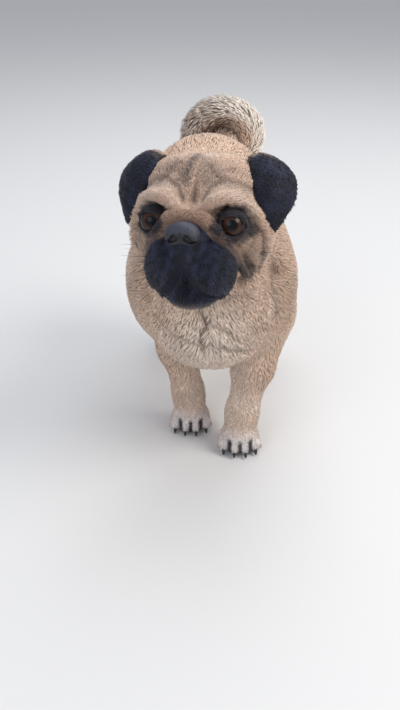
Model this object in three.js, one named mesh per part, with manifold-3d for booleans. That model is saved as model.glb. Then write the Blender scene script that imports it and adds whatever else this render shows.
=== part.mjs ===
// A pug standing still, life size, with its head turned a little to its right and its tail curled.
// Millimetres, +Z up. The dog faces -Y, its left side is +X, and its soles stand on Z = 0.
import * as THREE from "three";
import { mergeVertices } from "three/addons/utils/BufferGeometryUtils.js";
import Module from "manifold-3d";

const wasm = await Module();
wasm.setup();

// Space left between two pieces that meet face to face.
const GAP = 0.3;

// How far the ears and tail stay off the flesh that they lie on, so that the flat facets never cross.
const CLEARANCE = 0.6;

// The head: where its middle is, and how far it is turned, raised and tilted.
const HEAD_CENTRE = [-11, -29, 298];
const HEAD_TURN = -15;
const HEAD_RAISE = -4;
const HEAD_TILT = -2.5;

// Skull, muzzle and jaw, in the head's own frame with the face towards -Y.
const SKULL_WIDTH = 112;
const SKULL_TOP = 57;
const CHEEK_WIDTH = 130;
const MUZZLE_WIDTH = 84;
const MUZZLE_FRONT = -80;
const FLEW_TOP = -2;
const FLEW_BOTTOM = -59;
const CHIN_BOTTOM = -69;

// The mouth hangs a little to the dog's right of the muzzle's middle.
const MOUTH_MIDDLE = -3;

// Eyes.
const EYE_RADIUS = 11.8;
const EYE_CENTRE = [35, -48, 7.5];
const EYE_SPLAY = 17;
const EYE_LIFT = 4;
const LID_RADIUS = 14.2;
const LID_OPENING = [9.4, 7.4];

// Nose leather.
const NOSE_WIDTH = 29;
const NOSE_HEIGHT = 19;
const NOSE_CENTRE = [0, -77, 6];

// Body.
const BACK_HEIGHT = 288;
const CHEST_WIDTH = 172;
const RUMP_WIDTH = 150;
const BELLY_HEIGHT = 122;

// Paws: the middle of each sole.
const PAW_WIDTH = 48;
const PAW_LENGTH = 56;

// Where the four toes stand across a paw, and how far apart, as shares.
const TOE_PLACES = [-1.35, -0.48, 0.48, 1.35];
const TOE_SPREAD = PAW_WIDTH * 0.27;
const PAWS = {
  front_left: [28, 20],
  front_right: [-28, 62],
  hind_left: [52, 246],
  hind_right: [-50, 250],
};

// Tail: the ring that it curls round, and its thickness with its fur.
const TAIL_RING_CENTRE = [8.5, 246, 299];
const TAIL_RING_RADIUS = [32, 28];
const TAIL_THICK = 41;
const TAIL_TIP_THICK = 30;

// Ears.
const EAR_THICK = 4;
const EAR_RIM_THICK = 2.6;

const rad = THREE.MathUtils.degToRad;

// The head's frame, used to place every piece of the head.
const headFrame = new THREE.Matrix4().makeRotationFromEuler(
  new THREE.Euler(rad(HEAD_RAISE), rad(HEAD_TILT), rad(HEAD_TURN), "ZYX"),
);
headFrame.setPosition(new THREE.Vector3(...HEAD_CENTRE));
const headFrameInverse = headFrame.clone().invert();

// Distance functions. Each takes a point as x, y, z and is negative inside the form.

function ball(centre, radii) {
  const [cx, cy, cz] = centre;
  const [rx, ry, rz] = radii;
  return (x, y, z) => {
    const ux = (x - cx) / rx;
    const uy = (y - cy) / ry;
    const uz = (z - cz) / rz;
    const near = Math.sqrt(ux * ux + uy * uy + uz * uz);
    const slope = Math.sqrt((ux / rx) ** 2 + (uy / ry) ** 2 + (uz / rz) ** 2);
    return slope > 1e-9 ? (near * (near - 1)) / slope : -Math.min(rx, ry, rz);
  };
}

function limb(from, to, fromRadius, toRadius) {
  const [ax, ay, az] = from;
  const dx = to[0] - ax;
  const dy = to[1] - ay;
  const dz = to[2] - az;
  const lengthSquared = dx * dx + dy * dy + dz * dz;
  return (x, y, z) => {
    const along = ((x - ax) * dx + (y - ay) * dy + (z - az) * dz) / lengthSquared;
    const t = Math.min(1, Math.max(0, along));
    const away = Math.hypot(x - ax - dx * t, y - ay - dy * t, z - az - dz * t);
    return away - (fromRadius + (toRadius - fromRadius) * t);
  };
}

// A roll or cord of round sections through points, each with its radius as the fourth number.
function roll(stations) {
  const pieces = [];
  for (let i = 0; i + 1 < stations.length; i += 1) {
    const [a, b] = [stations[i], stations[i + 1]];
    pieces.push(limb(a.slice(0, 3), b.slice(0, 3), a[3], b[3]));
  }
  return (x, y, z) => {
    let nearest = Infinity;
    for (const piece of pieces) {
      nearest = Math.min(nearest, piece(x, y, z));
    }
    return nearest;
  };
}

function blendValues(a, b, softness) {
  const overlap = Math.max(softness - Math.abs(a - b), 0) / softness;
  return Math.min(a, b) - overlap * overlap * softness * 0.25;
}

// Join forms with a fillet of the given softness.
function blend(softness, ...forms) {
  return (x, y, z) => {
    let value = forms[0](x, y, z);
    for (let i = 1; i < forms.length; i += 1) {
      value = blendValues(value, forms[i](x, y, z), softness);
    }
    return value;
  };
}

// Press forms into a body, with rounded edges.
function press(softness, body, ...tools) {
  return (x, y, z) => {
    let value = -body(x, y, z);
    for (const tool of tools) {
      value = blendValues(value, tool(x, y, z), softness);
    }
    return -value;
  };
}

function grow(form, by) {
  return (x, y, z) => form(x, y, z) - by;
}

// Both sides of the head from the form of its left side.
function pair(form) {
  return (x, y, z) => form(Math.abs(x), y, z);
}

function inHeadFrame(form) {
  const m = headFrameInverse.elements;
  return (x, y, z) => form(
    m[0] * x + m[4] * y + m[8] * z + m[12],
    m[1] * x + m[5] * y + m[9] * z + m[13],
    m[2] * x + m[6] * y + m[10] * z + m[14],
  );
}

function fromHeadFrame(form) {
  const m = headFrame.elements;
  return (x, y, z) => form(
    m[0] * x + m[4] * y + m[8] * z + m[12],
    m[1] * x + m[5] * y + m[9] * z + m[13],
    m[2] * x + m[6] * y + m[10] * z + m[14],
  );
}

// The head's flesh in its own frame.

function skullForm() {
  const half = SKULL_WIDTH / 2;
  return blend(
    14,
    ball([0, 8, 8], [half, 56, SKULL_TOP - 8]),
    pair(ball([25, -8, 24], [27, 36, SKULL_TOP - 27])),
    pair(ball([CHEEK_WIDTH / 2 - 27, -8, -12], [27, 38, 34])),
    ball([0, -30, -14], [44, 34, 34]),
  );
}

function browForm() {
  return pair(roll([
    [11, -55, 20, 5],
    [19, -54, 28, 6],
    [32, -49, 31, 6.5],
    [44, -40, 26, 6],
    [52, -30, 12, 4.5],
  ]));
}

function muzzleForm() {
  const padCentre = MUZZLE_WIDTH / 2 - 23;
  const flewMiddle = (FLEW_TOP + FLEW_BOTTOM) / 2;
  return blend(
    5,
    pair(ball([padCentre, MUZZLE_FRONT + 22, flewMiddle], [23, 22, FLEW_TOP - flewMiddle])),
    ball([0, MUZZLE_FRONT + 20, 0], [19, 18, 16]),
    ball([0, MUZZLE_FRONT + 17, -14], [13, 16, 16]),
  );
}

function chinForm() {
  return ball([0, MUZZLE_FRONT + 26, CHIN_BOTTOM + 15], [25, 22, 15]);
}

// The roll of skin that arches over the nose and runs down round both flews.
function noseRollForm() {
  return pair(roll([
    [0, -65, 19, 6.5],
    [15, -64, 15, 6.5],
    [28, -60, 0, 6.5],
    [40, -50, -20, 6.5],
    [45, -40, -38, 5],
  ]));
}

function cheekFoldForm() {
  return pair(roll([
    [57, -28, 4, 4],
    [58, -26, -16, 6],
    [52, -26, -36, 7],
    [40, -24, -52, 6],
  ]));
}

function browFurrow() {
  return roll([
    [0, -62, 26, 4],
    [0, -55, 40, 4],
    [0, -44, 54, 3],
  ]);
}

function headForm() {
  const face = blend(8, skullForm(), chinForm(), cheekFoldForm());
  const folded = blend(4, blend(9, face, browForm()), muzzleForm(), noseRollForm());
  return press(5, folded, browFurrow());
}

// Neck, trunk and legs.

function neckForm() {
  return blend(
    26,
    limb([-5, 66, 236], [-9, 14, 292], 63, 56),
    ball([-8, -6, 236], [58, 44, 40]),
    ball([-10, 38, 300], [56, 44, 54]),
    ball([-4, 60, 254], [66, 60, 36]),
  );
}

function trunkForm() {
  const backRise = (BACK_HEIGHT - BELLY_HEIGHT) / 2;
  const middle = BELLY_HEIGHT + backRise;
  return blend(
    26,
    ball([-3, 86, middle], [CHEST_WIDTH / 2, 100, backRise]),
    ball([-6, 18, 181], [68, 54, 68]),
    ball([0, 168, middle + 8], [70, 82, backRise - 12]),
    ball([2, 222, middle + 6], [RUMP_WIDTH / 2 - 4, 66, backRise - 6]),
    ball([44, 44, 192], [40, 46, 62]),
    ball([-54, 60, 188], [41, 46, 62]),
  );
}

function frontLegForm(paw, side) {
  const [px, py] = paw;
  return blend(
    12,
    limb([px + 25 * side, py + 30, 156], [px + 14 * side, py + 18, 100], 33, 24),
    limb([px + 14 * side, py + 18, 100], [px + 3 * side, py + 8, 46], 23, 18),
    limb([px + 3 * side, py + 8, 46], [px, py, 24], 18, 19),
  );
}

function hindLegForm(paw, side) {
  const [px, py] = paw;
  return blend(
    16,
    ball([px - 2 * side, py - 22, 182], [38, 60, 66]),
    limb([px + 2 * side, py - 42, 142], [px + side, py + 6, 88], 35, 21),
    limb([px + side, py + 12, 80], [px, py + 7, 26], 18, 18),
  );
}

function pawForm(paw) {
  const [px, py] = paw;
  const front = py - PAW_LENGTH / 2;
  const toes = TOE_PLACES.map((place) => {
    const outer = Math.abs(place) > 1;
    const reach = outer ? 20 : 14;
    return limb(
      [px + place * TOE_SPREAD * 0.78, front + 30, 16],
      [px + place * TOE_SPREAD, front + reach, 10],
      8.5,
      8,
    );
  });
  return blend(4, ball([px, py + 3, 14], [PAW_WIDTH / 2 - 4, PAW_LENGTH / 2 - 4, 17]), ...toes);
}

const legForms = {
  front_left: blend(9, frontLegForm(PAWS.front_left, 1), pawForm(PAWS.front_left)),
  front_right: blend(9, frontLegForm(PAWS.front_right, -1), pawForm(PAWS.front_right)),
  hind_left: blend(9, hindLegForm(PAWS.hind_left, 1), pawForm(PAWS.hind_left)),
  hind_right: blend(9, hindLegForm(PAWS.hind_right, -1), pawForm(PAWS.hind_right)),
};

function allLegs(x, y, z) {
  return Math.min(
    legForms.front_left(x, y, z),
    legForms.front_right(x, y, z),
    legForms.hind_left(x, y, z),
    legForms.hind_right(x, y, z),
  );
}

const headFlesh = inHeadFrame(headForm());
const bodyForm = blend(12, blend(18, blend(22, trunkForm(), neckForm()), allLegs), headFlesh);

// Grid lines along one axis, closer where the form is finer: runs of [from, to, step].
function graded(...runs) {
  const lines = [runs[0][0]];
  for (const [from, to, step] of runs) {
    const count = Math.max(1, Math.round((to - from) / step));
    for (let i = 1; i <= count; i += 1) {
      lines.push(from + ((to - from) * i) / count);
    }
  }
  return lines;
}

// The six faces of a grid cell: a first corner, and the steps to the two beside it.
const CELL_FACES = [
  [0, 2, 4], [1, 2, 4],
  [0, 1, 4], [2, 1, 4],
  [0, 1, 2], [4, 1, 2],
];

// The closed net of triangles over a form, with one corner in each grid cell that the form crosses.
class SurfaceNet {
  constructor(form, xs, ys, zs) {
    this.axes = [xs, ys, zs];
    this.counts = this.axes.map((lines) => lines.length);
    this.form = this.clipped(form);
    this.sample();
    this.separate();
    this.placeCorners();
    this.joinCorners();
  }

  clipped(form) {
    const limits = this.axes.map((lines) => [
      (lines[0] + lines[1]) / 2,
      (lines[lines.length - 1] + lines[lines.length - 2]) / 2,
    ]);
    return (x, y, z) => Math.max(
      form(x, y, z),
      limits[0][0] - x,
      x - limits[0][1],
      limits[1][0] - y,
      y - limits[1][1],
      limits[2][0] - z,
      z - limits[2][1],
    );
  }

  node(i, j, k) {
    return (k * this.counts[1] + j) * this.counts[0] + i;
  }

  sample() {
    const [xs, ys, zs] = this.axes;
    this.values = new Float64Array(xs.length * ys.length * zs.length);
    let at = 0;
    for (const z of zs) {
      for (const y of ys) {
        for (const x of xs) {
          this.values[at] = this.form(x, y, z);
          at += 1;
        }
      }
    }
  }

  eachCell(visit) {
    const [nx, ny, nz] = this.counts;
    for (let k = 0; k + 1 < nz; k += 1) {
      for (let j = 0; j + 1 < ny; j += 1) {
        for (let i = 0; i + 1 < nx; i += 1) {
          visit(i, j, k);
        }
      }
    }
  }

  cellNodes(i, j, k) {
    const nodes = [];
    for (let corner = 0; corner < 8; corner += 1) {
      nodes.push(this.node(i + (corner & 1), j + ((corner >> 1) & 1), k + (corner >> 2)));
    }
    return nodes;
  }

  // Corners of one kind that edges of the cell join to the first of them.
  static reach(kind, inside) {
    const wanted = [];
    for (let corner = 0; corner < 8; corner += 1) {
      if (inside[corner] === kind) wanted.push(corner);
    }
    const reached = new Set(wanted.slice(0, 1));
    for (const corner of reached) {
      for (const step of [1, 2, 4]) {
        const next = corner ^ step;
        if (inside[next] === kind) reached.add(next);
      }
    }
    return { wanted, reached };
  }

  // The corners to turn over in a cell where parts of the form touch only across a face or a corner.
  static loose(inside) {
    for (const [side, u, v] of CELL_FACES) {
      const [a, b, c, d] = [side, side | u, side | v, side | u | v];
      if (inside[a] === inside[d] && inside[b] === inside[c] && inside[a] !== inside[b]) {
        return inside[a] ? [a] : [b];
      }
    }
    for (const kind of [true, false]) {
      const { wanted, reached } = SurfaceNet.reach(kind, inside);
      if (wanted.length > reached.size) {
        return reached.size * 2 <= wanted.length
          ? [...reached]
          : wanted.filter((corner) => !reached.has(corner));
      }
    }
    return [];
  }

  // Where two parts of the form only touch, part them by a hair.
  separate() {
    const least = 1e-3;
    for (let pass = 0; pass < 40; pass += 1) {
      let changed = false;
      this.eachCell((i, j, k) => {
        const nodes = this.cellNodes(i, j, k);
        const inside = nodes.map((node) => this.values[node] < 0);
        for (const corner of SurfaceNet.loose(inside)) {
          this.values[nodes[corner]] = inside[corner] ? least : -least;
          changed = true;
        }
      });
      if (!changed) return;
    }
  }

  slope(x, y, z) {
    const step = 0.05;
    const { form } = this;
    return [
      (form(x + step, y, z) - form(x - step, y, z)) / (2 * step),
      (form(x, y + step, z) - form(x, y - step, z)) / (2 * step),
      (form(x, y, z + step) - form(x, y, z - step)) / (2 * step),
    ];
  }

  placeCorners() {
    const edges = [];
    for (let corner = 0; corner < 8; corner += 1) {
      for (const step of [1, 2, 4]) {
        if (!(corner & step)) edges.push([corner, corner | step]);
      }
    }
    const [nx, ny, nz] = this.counts;
    this.cornerOf = new Int32Array((nx - 1) * (ny - 1) * (nz - 1)).fill(-1);
    this.corners = [];
    this.eachCell((i, j, k) => {
      const values = this.cellNodes(i, j, k).map((node) => this.values[node]);
      const place = [0, 0, 0];
      let crossings = 0;
      for (const [a, b] of edges) {
        if ((values[a] < 0) === (values[b] < 0)) continue;
        const t = values[a] / (values[a] - values[b]);
        for (let axis = 0; axis < 3; axis += 1) {
          const low = (a >> axis) & 1;
          const high = (b >> axis) & 1;
          place[axis] += low + (high - low) * t;
        }
        crossings += 1;
      }
      if (!crossings) return;
      const cell = [i, j, k];
      const low = cell.map((index, axis) => this.axes[axis][index]);
      const high = cell.map((index, axis) => this.axes[axis][index + 1]);
      const point = place.map((share, axis) => low[axis] + (high[axis] - low[axis]) * (share / crossings));
      this.cornerOf[this.cell(i, j, k)] = this.corners.length;
      this.corners.push(this.settled(point, low, high));
    });
  }

  cell(i, j, k) {
    return (k * (this.counts[1] - 1) + j) * (this.counts[0] - 1) + i;
  }

  // Move a corner onto the form, without leaving its own cell.
  settled(point, low, high) {
    const margin = 0.04;
    let place = point;
    for (let pass = 0; pass < 3; pass += 1) {
      const value = this.form(...place);
      const slope = this.slope(...place);
      const steep = slope[0] ** 2 + slope[1] ** 2 + slope[2] ** 2;
      if (steep < 1e-6) return place;
      place = place.map((number, axis) => {
        const size = high[axis] - low[axis];
        const moved = number - (value * slope[axis]) / steep;
        return Math.min(high[axis] - margin * size, Math.max(low[axis] + margin * size, moved));
      });
    }
    return place;
  }

  joinCorners() {
    this.triangles = [];
    const [nx, ny, nz] = this.counts;
    for (let k = 0; k + 1 < nz; k += 1) {
      for (let j = 0; j + 1 < ny; j += 1) {
        for (let i = 0; i + 1 < nx; i += 1) {
          this.joinAcross(i, j, k);
        }
      }
    }
  }

  joinAcross(i, j, k) {
    const here = this.values[this.node(i, j, k)] < 0;
    const rings = [
      [j && k ? this.node(i + 1, j, k) : -1, [[0, -1, -1], [0, 0, -1], [0, 0, 0], [0, -1, 0]]],
      [i && k ? this.node(i, j + 1, k) : -1, [[-1, 0, -1], [-1, 0, 0], [0, 0, 0], [0, 0, -1]]],
      [i && j ? this.node(i, j, k + 1) : -1, [[-1, -1, 0], [0, -1, 0], [0, 0, 0], [-1, 0, 0]]],
    ];
    for (const [next, ring] of rings) {
      if (next < 0 || (this.values[next] < 0) === here) continue;
      const quad = ring.map(([di, dj, dk]) => this.cornerOf[this.cell(i + di, j + dj, k + dk)]);
      if (!here) quad.reverse();
      this.addQuad(quad);
    }
  }

  addQuad([a, b, c, d]) {
    const apart = (m, n) => Math.hypot(...this.corners[m].map((value, axis) => value - this.corners[n][axis]));
    if (apart(a, c) <= apart(b, d)) {
      this.triangles.push(a, b, c, a, c, d);
    } else {
      this.triangles.push(a, b, d, b, c, d);
    }
  }
}

function solidFrom(points, triangles) {
  return new wasm.Manifold(new wasm.Mesh({
    numProp: 3,
    vertProperties: new Float32Array(points),
    triVerts: new Uint32Array(triangles),
  }));
}

function solidOf(form, xs, ys, zs) {
  const net = new SurfaceNet(form, xs, ys, zs);
  return solidFrom(net.corners.flat(), net.triangles);
}

function solidFromGeometry(geometry) {
  const plain = geometry.clone();
  plain.deleteAttribute("normal");
  plain.deleteAttribute("uv");
  const merged = mergeVertices(plain, 1e-4);
  return solidFrom(merged.attributes.position.array, merged.index.array);
}

function geometryFrom(solid) {
  const mesh = solid.getMesh();
  const geometry = new THREE.BufferGeometry();
  geometry.setAttribute("position", new THREE.BufferAttribute(new Float32Array(mesh.vertProperties), 3));
  geometry.setIndex(new THREE.BufferAttribute(new Uint32Array(mesh.triVerts), 1));
  geometry.computeVertexNormals();
  return geometry;
}

// The largest closed piece, so that no loose scrap stays.
function largest(solid) {
  return solid.decompose().reduce((best, piece) => (piece.volume() > best.volume() ? piece : best));
}

// A block with one face through a point, filling the side that the normal points to.
function blockBeyond(point, normal, offset = 0) {
  const size = 900;
  const toward = new THREE.Vector3(...normal).normalize();
  const geometry = new THREE.BoxGeometry(size, size, size);
  const turn = new THREE.Quaternion().setFromUnitVectors(new THREE.Vector3(0, 0, 1), toward);
  geometry.applyQuaternion(turn);
  const centre = new THREE.Vector3(...point).addScaledVector(toward, size / 2 + offset);
  geometry.translate(centre.x, centre.y, centre.z);
  return solidFromGeometry(geometry);
}

// Cut a solid at a plane and keep the side that the normal points to, half a gap back from it.
function keepBeyond(solid, [point, normal]) {
  return solid.intersect(blockBeyond(point, normal, GAP / 2));
}

function keepBehind(solid, [point, normal]) {
  return solid.subtract(blockBeyond(point, normal, -GAP / 2));
}

// A round tube through stations of x, y, z and radius, with its ends drawn to a point.
function tube(stations, sides) {
  const curve = new THREE.CatmullRomCurve3(stations.map(([x, y, z]) => new THREE.Vector3(x, y, z)));
  const points = [];
  const triangles = [];
  const last = stations.length - 1;
  const start = stations[0];
  points.push(...start.slice(0, 3));
  stations.forEach(([x, y, z, radius], index) => {
    const along = curve.getTangent(index / last);
    const across = new THREE.Vector3(1, 0, 0).cross(along).normalize();
    const over = along.clone().cross(across);
    const inset = index === 0 || index === last ? 0.6 : 1;
    for (let side = 0; side < sides; side += 1) {
      const turn = (side / sides) * Math.PI * 2;
      const spoke = across.clone().multiplyScalar(Math.cos(turn)).addScaledVector(over, Math.sin(turn));
      spoke.multiplyScalar(radius * inset);
      points.push(x + spoke.x, y + spoke.y, z + spoke.z);
    }
  });
  const end = curve.getPoint(1).addScaledVector(curve.getTangent(1), stations[last][3] * 0.5);
  points.push(end.x, end.y, end.z);
  const tip = points.length / 3 - 1;
  for (let side = 0; side < sides; side += 1) {
    const next = (side + 1) % sides;
    triangles.push(0, 1 + next, 1 + side);
    for (let ring = 0; ring < last; ring += 1) {
      const low = 1 + ring * sides;
      const high = low + sides;
      triangles.push(low + side, low + next, high + next);
      triangles.push(low + side, high + next, high + side);
    }
    triangles.push(1 + last * sides + side, 1 + last * sides + next, tip);
  }
  return solidFrom(points, triangles);
}

// Planes where the parts of the body meet: a point on the plane, and its normal.
const THROAT_PLANE = [[0, 46, 46], [0, -0.8, 0.6]];
const COLLAR_PLANE = [[0, 70, 286], [0, -0.62, 0.785]];
const CHEST_PLANE = [[0, 122, 200], [0, 1, 0]];
const LOIN_PLANE = [[0, 184, 200], [0, 1, 0.05]];
const FRONT_LEG_PLANE = [[20, 0, 116], [-0.5, 0, 0.866]];
const HIND_LEG_PLANE = [[20, 0, 126], [-0.74, 0.1, 0.67]];
const LEG_DIVIDE = 135;
const FRONT_PAW_HEIGHT = 40;
const HIND_PAW_HEIGHT = 36;

function worldPlane([point, normal]) {
  const place = new THREE.Vector3(...point).applyMatrix4(headFrame);
  const toward = new THREE.Vector3(...normal).transformDirection(headFrame);
  return [place.toArray(), toward.toArray()];
}

function mirroredPlane([[x, y, z], [nx, ny, nz]]) {
  return [[-x, y, z], [-nx, ny, nz]];
}

// Eyes, lids, nostrils and lips.

function eyeDirection(side) {
  const direction = new THREE.Vector3(0, -1, 0);
  direction.applyEuler(new THREE.Euler(rad(-EYE_LIFT), 0, rad(EYE_SPLAY * side), "ZYX"));
  return direction;
}

function roundSolid(radius, centre, around, over) {
  const geometry = new THREE.SphereGeometry(radius, around, over);
  geometry.rotateX(Math.PI / 2);
  geometry.translate(...centre);
  return solidFromGeometry(geometry);
}

function eyeCentre(side) {
  return [EYE_CENTRE[0] * side, EYE_CENTRE[1], EYE_CENTRE[2]];
}

function lidOpening(side) {
  const depth = 40;
  const geometry = new THREE.CylinderGeometry(1, 1, depth, 20);
  geometry.scale(LID_OPENING[0], 1, LID_OPENING[1]);
  geometry.translate(0, depth / 2, 0);
  const turn = new THREE.Quaternion().setFromUnitVectors(new THREE.Vector3(0, 1, 0), eyeDirection(side));
  geometry.applyQuaternion(turn);
  geometry.translate(...eyeCentre(side));
  return solidFromGeometry(geometry);
}

function lipLine(side) {
  return tube([
    [MOUTH_MIDDLE, MUZZLE_FRONT + 4, -25, 2],
    [MOUTH_MIDDLE + 6 * side, MUZZLE_FRONT + 4.5, -34, 2.4],
    [MOUTH_MIDDLE + 13 * side, MUZZLE_FRONT + 4, -44, 2.6],
    [MOUTH_MIDDLE + 23 * side, MUZZLE_FRONT + 7.5, -50, 2.4],
    [MOUTH_MIDDLE + 33 * side, MUZZLE_FRONT + 15, -52, 2],
  ], 6);
}

function philtrum() {
  return tube([
    [0, MUZZLE_FRONT - 2, -2, 1.2],
    [MOUTH_MIDDLE / 2, MUZZLE_FRONT - 1, -12, 1.4],
    [MOUTH_MIDDLE, MUZZLE_FRONT + 3, -26, 1.8],
  ], 6);
}

function noseForm() {
  const [x, y, z] = NOSE_CENTRE;
  const leather = blend(
    4,
    ball([x, y, z + 1], [NOSE_WIDTH / 2, 9.5, NOSE_HEIGHT / 2]),
    pair(ball([7.5, y - 2.5, z - 2], [7, 7, 6.5])),
  );
  const nostril = pair(roll([
    [5.5, y - 9, z - 2.5, 2.6],
    [9.5, y - 7, z - 4.5, 1.6],
    [12, y - 3, z - 5, 1.2],
  ]));
  const middle = roll([
    [0, y - 10, z + 2, 1.1],
    [0, y - 9, z - 10, 1.6],
  ]);
  return press(1.5, leather, nostril, middle);
}

function noseSolid(by) {
  const [x, y, z] = NOSE_CENTRE;
  const form = grow(noseForm(), by);
  return solidOf(form, graded([x - 20, x + 20, 3]), graded([y - 16, y + 16, 3.2]), graded([z - 15, z + 15, 3]));
}

// The ear: rows from its root over the crest to its tip, each from front edge to back edge.
const EAR_ROWS = [
  [[36, 12, 42], [45, 18, 42], [54, 25, 35]],
  [[38, 3, 54], [51, 9, 55], [65, 18, 46]],
  [[45, -12, 48], [61, -5, 50], [80, 6, 37]],
  [[52, -24, 31], [67, -18, 29], [82, -4, 20]],
  [[59.5, -28, 13], [67.5, -24, 9], [75, -14, 6]],
  [[66, -24, -2], [67.5, -23, -4], [69.5, -21, -2]],
];
const EAR_STEPS_ALONG = 10;
const EAR_STEPS_ACROSS = 6;

function earSheetPoint(along, across, side) {
  const row = EAR_ROWS.map((stations) => {
    const curve = new THREE.CatmullRomCurve3(stations.map(([x, y, z]) => new THREE.Vector3(x, y, z)));
    return curve.getPoint(across);
  });
  const point = new THREE.CatmullRomCurve3(row).getPoint(along);
  point.x *= side;
  return point;
}

function earSolid(side) {
  const rows = EAR_STEPS_ALONG + 1;
  const columns = EAR_STEPS_ACROSS + 1;
  const step = 0.02;
  const outer = [];
  const inner = [];
  for (let i = 0; i < rows; i += 1) {
    for (let j = 0; j < columns; j += 1) {
      const along = i / EAR_STEPS_ALONG;
      const across = j / EAR_STEPS_ACROSS;
      const point = earSheetPoint(along, across, side);
      const down = earSheetPoint(Math.min(1, along + step), across, side)
        .sub(earSheetPoint(Math.max(0, along - step), across, side));
      const over = earSheetPoint(along, Math.min(1, across + step), side)
        .sub(earSheetPoint(along, Math.max(0, across - step), side));
      const face = over.cross(down).normalize().multiplyScalar(side);
      const rim = j === 0 || j === columns - 1 || i === rows - 1;
      const thick = rim ? EAR_RIM_THICK : EAR_THICK;
      outer.push(point.clone().addScaledVector(face, -thick / 2));
      inner.push(point.clone().addScaledVector(face, thick / 2));
    }
  }
  const points = [...outer, ...inner].flatMap((point) => point.toArray());
  const at = (i, j) => i * columns + j;
  const under = rows * columns;
  const triangles = [];
  const quad = (a, b, c, d) => triangles.push(a, b, c, a, c, d);
  for (let i = 0; i + 1 < rows; i += 1) {
    for (let j = 0; j + 1 < columns; j += 1) {
      const [a, b, c, d] = [at(i, j), at(i + 1, j), at(i + 1, j + 1), at(i, j + 1)];
      quad(a, b, c, d);
      triangles.push(under + a, under + c, under + b, under + a, under + d, under + c);
    }
  }
  const border = [];
  for (let i = 0; i < rows; i += 1) border.push(at(i, 0));
  for (let j = 1; j < columns; j += 1) border.push(at(rows - 1, j));
  for (let i = rows - 2; i >= 0; i -= 1) border.push(at(i, columns - 1));
  for (let j = columns - 2; j > 0; j -= 1) border.push(at(0, j));
  border.forEach((here, index) => {
    const next = border[(index + 1) % border.length];
    quad(here, under + here, under + next, next);
  });
  const facing = side > 0 ? triangles : flipped(triangles);
  return solidFrom(points, facing);
}

function flipped(triangles) {
  const turned = [];
  for (let i = 0; i < triangles.length; i += 3) {
    turned.push(triangles[i], triangles[i + 2], triangles[i + 1]);
  }
  return turned;
}

// The head and what it carries, in the head's own frame.

const headField = fromHeadFrame(bodyForm);

function headGrid() {
  return [
    graded([-80, -50, 8], [-50, 50, 4.8], [50, 80, 8]),
    graded([-98, -38, 4.8], [-38, 80, 12]),
    graded([-92, -74, 9], [-74, 36, 4.8], [36, 72, 10]),
  ];
}

function headSolids() {
  const whole = solidOf(headField, ...headGrid());
  const wide = solidOf(grow(headField, CLEARANCE), ...headGrid());
  let head = keepBeyond(whole, THROAT_PLANE);
  const solids = {};
  for (const side of [1, -1]) {
    head = head.add(roundSolid(LID_RADIUS, eyeCentre(side), 16, 10));
  }
  for (const [name, side] of [["left", 1], ["right", -1]]) {
    head = head.subtract(roundSolid(EYE_RADIUS + GAP, eyeCentre(side), 14, 10));
    head = head.subtract(lidOpening(side));
    solids[`eye_${name}`] = roundSolid(EYE_RADIUS, eyeCentre(side), 14, 10);
    head = head.subtract(lipLine(side));
    solids[`ear_${name}`] = largest(earSolid(side).subtract(wide));
  }
  head = head.subtract(philtrum());
  head = head.subtract(noseSolid(GAP));
  solids.nose = largest(noseSolid(0));
  solids.head = largest(head);
  return solids;
}

// Neck and trunk.

const trunkGrid = [graded([-112, 104, 15.6]), graded([-66, 312, 15.6]), graded([88, 358, 15.6])];

function trunkSolids() {
  const whole = solidOf(bodyForm, ...trunkGrid);
  const throat = worldPlane(THROAT_PLANE);
  let trunk = whole;
  for (const plane of [FRONT_LEG_PLANE, mirroredPlane(FRONT_LEG_PLANE)]) {
    trunk = trunk.subtract(legRegion(plane, true, -GAP / 2));
  }
  for (const plane of [HIND_LEG_PLANE, mirroredPlane(HIND_LEG_PLANE)]) {
    trunk = trunk.subtract(legRegion(plane, false, -GAP / 2));
  }
  const neckWhole = keepBeyond(whole, COLLAR_PLANE);
  const below = keepBehind(trunk, COLLAR_PLANE);
  return {
    neck: largest(keepBehind(neckWhole, throat)),
    chest: largest(keepBehind(below, CHEST_PLANE)),
    loin: largest(keepBehind(keepBeyond(below, CHEST_PLANE), LOIN_PLANE)),
    rump: largest(keepBeyond(below, LOIN_PLANE)),
  };
}

// The space of one leg: under its slanted plane, on its own side, in front of or behind the divide.
function legRegion([point, normal], front, shrink) {
  const side = Math.sign(point[0]);
  const under = normal.map((value) => -value);
  const outward = [side, 0, 0];
  const alongBody = [0, front ? -1 : 1, 0];
  const region = blockBeyond(point, under, shrink);
  const sideways = blockBeyond([0, 0, 0], outward, 0.5);
  const lengthways = blockBeyond([0, LEG_DIVIDE, 0], alongBody, 0);
  return region.intersect(sideways).intersect(lengthways);
}

// A hooked claw at the front of each toe.
function clawSolids(paw) {
  const [px, py] = paw;
  const front = py - PAW_LENGTH / 2;
  return TOE_PLACES.map((place) => {
    const outer = Math.abs(place) > 1;
    const toeX = px + place * TOE_SPREAD;
    const toeY = front + (outer ? 13 : 7);
    return tube([
      [toeX, toeY + 5, 11, 3.2],
      [toeX + place * 0.4, toeY - 1, 9.5, 2.8],
      [toeX + place * 0.6, toeY - 5, 5.5, 1.8],
      [toeX + place * 0.7, toeY - 7, 2.2, 0.8],
    ], 6);
  });
}

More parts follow.
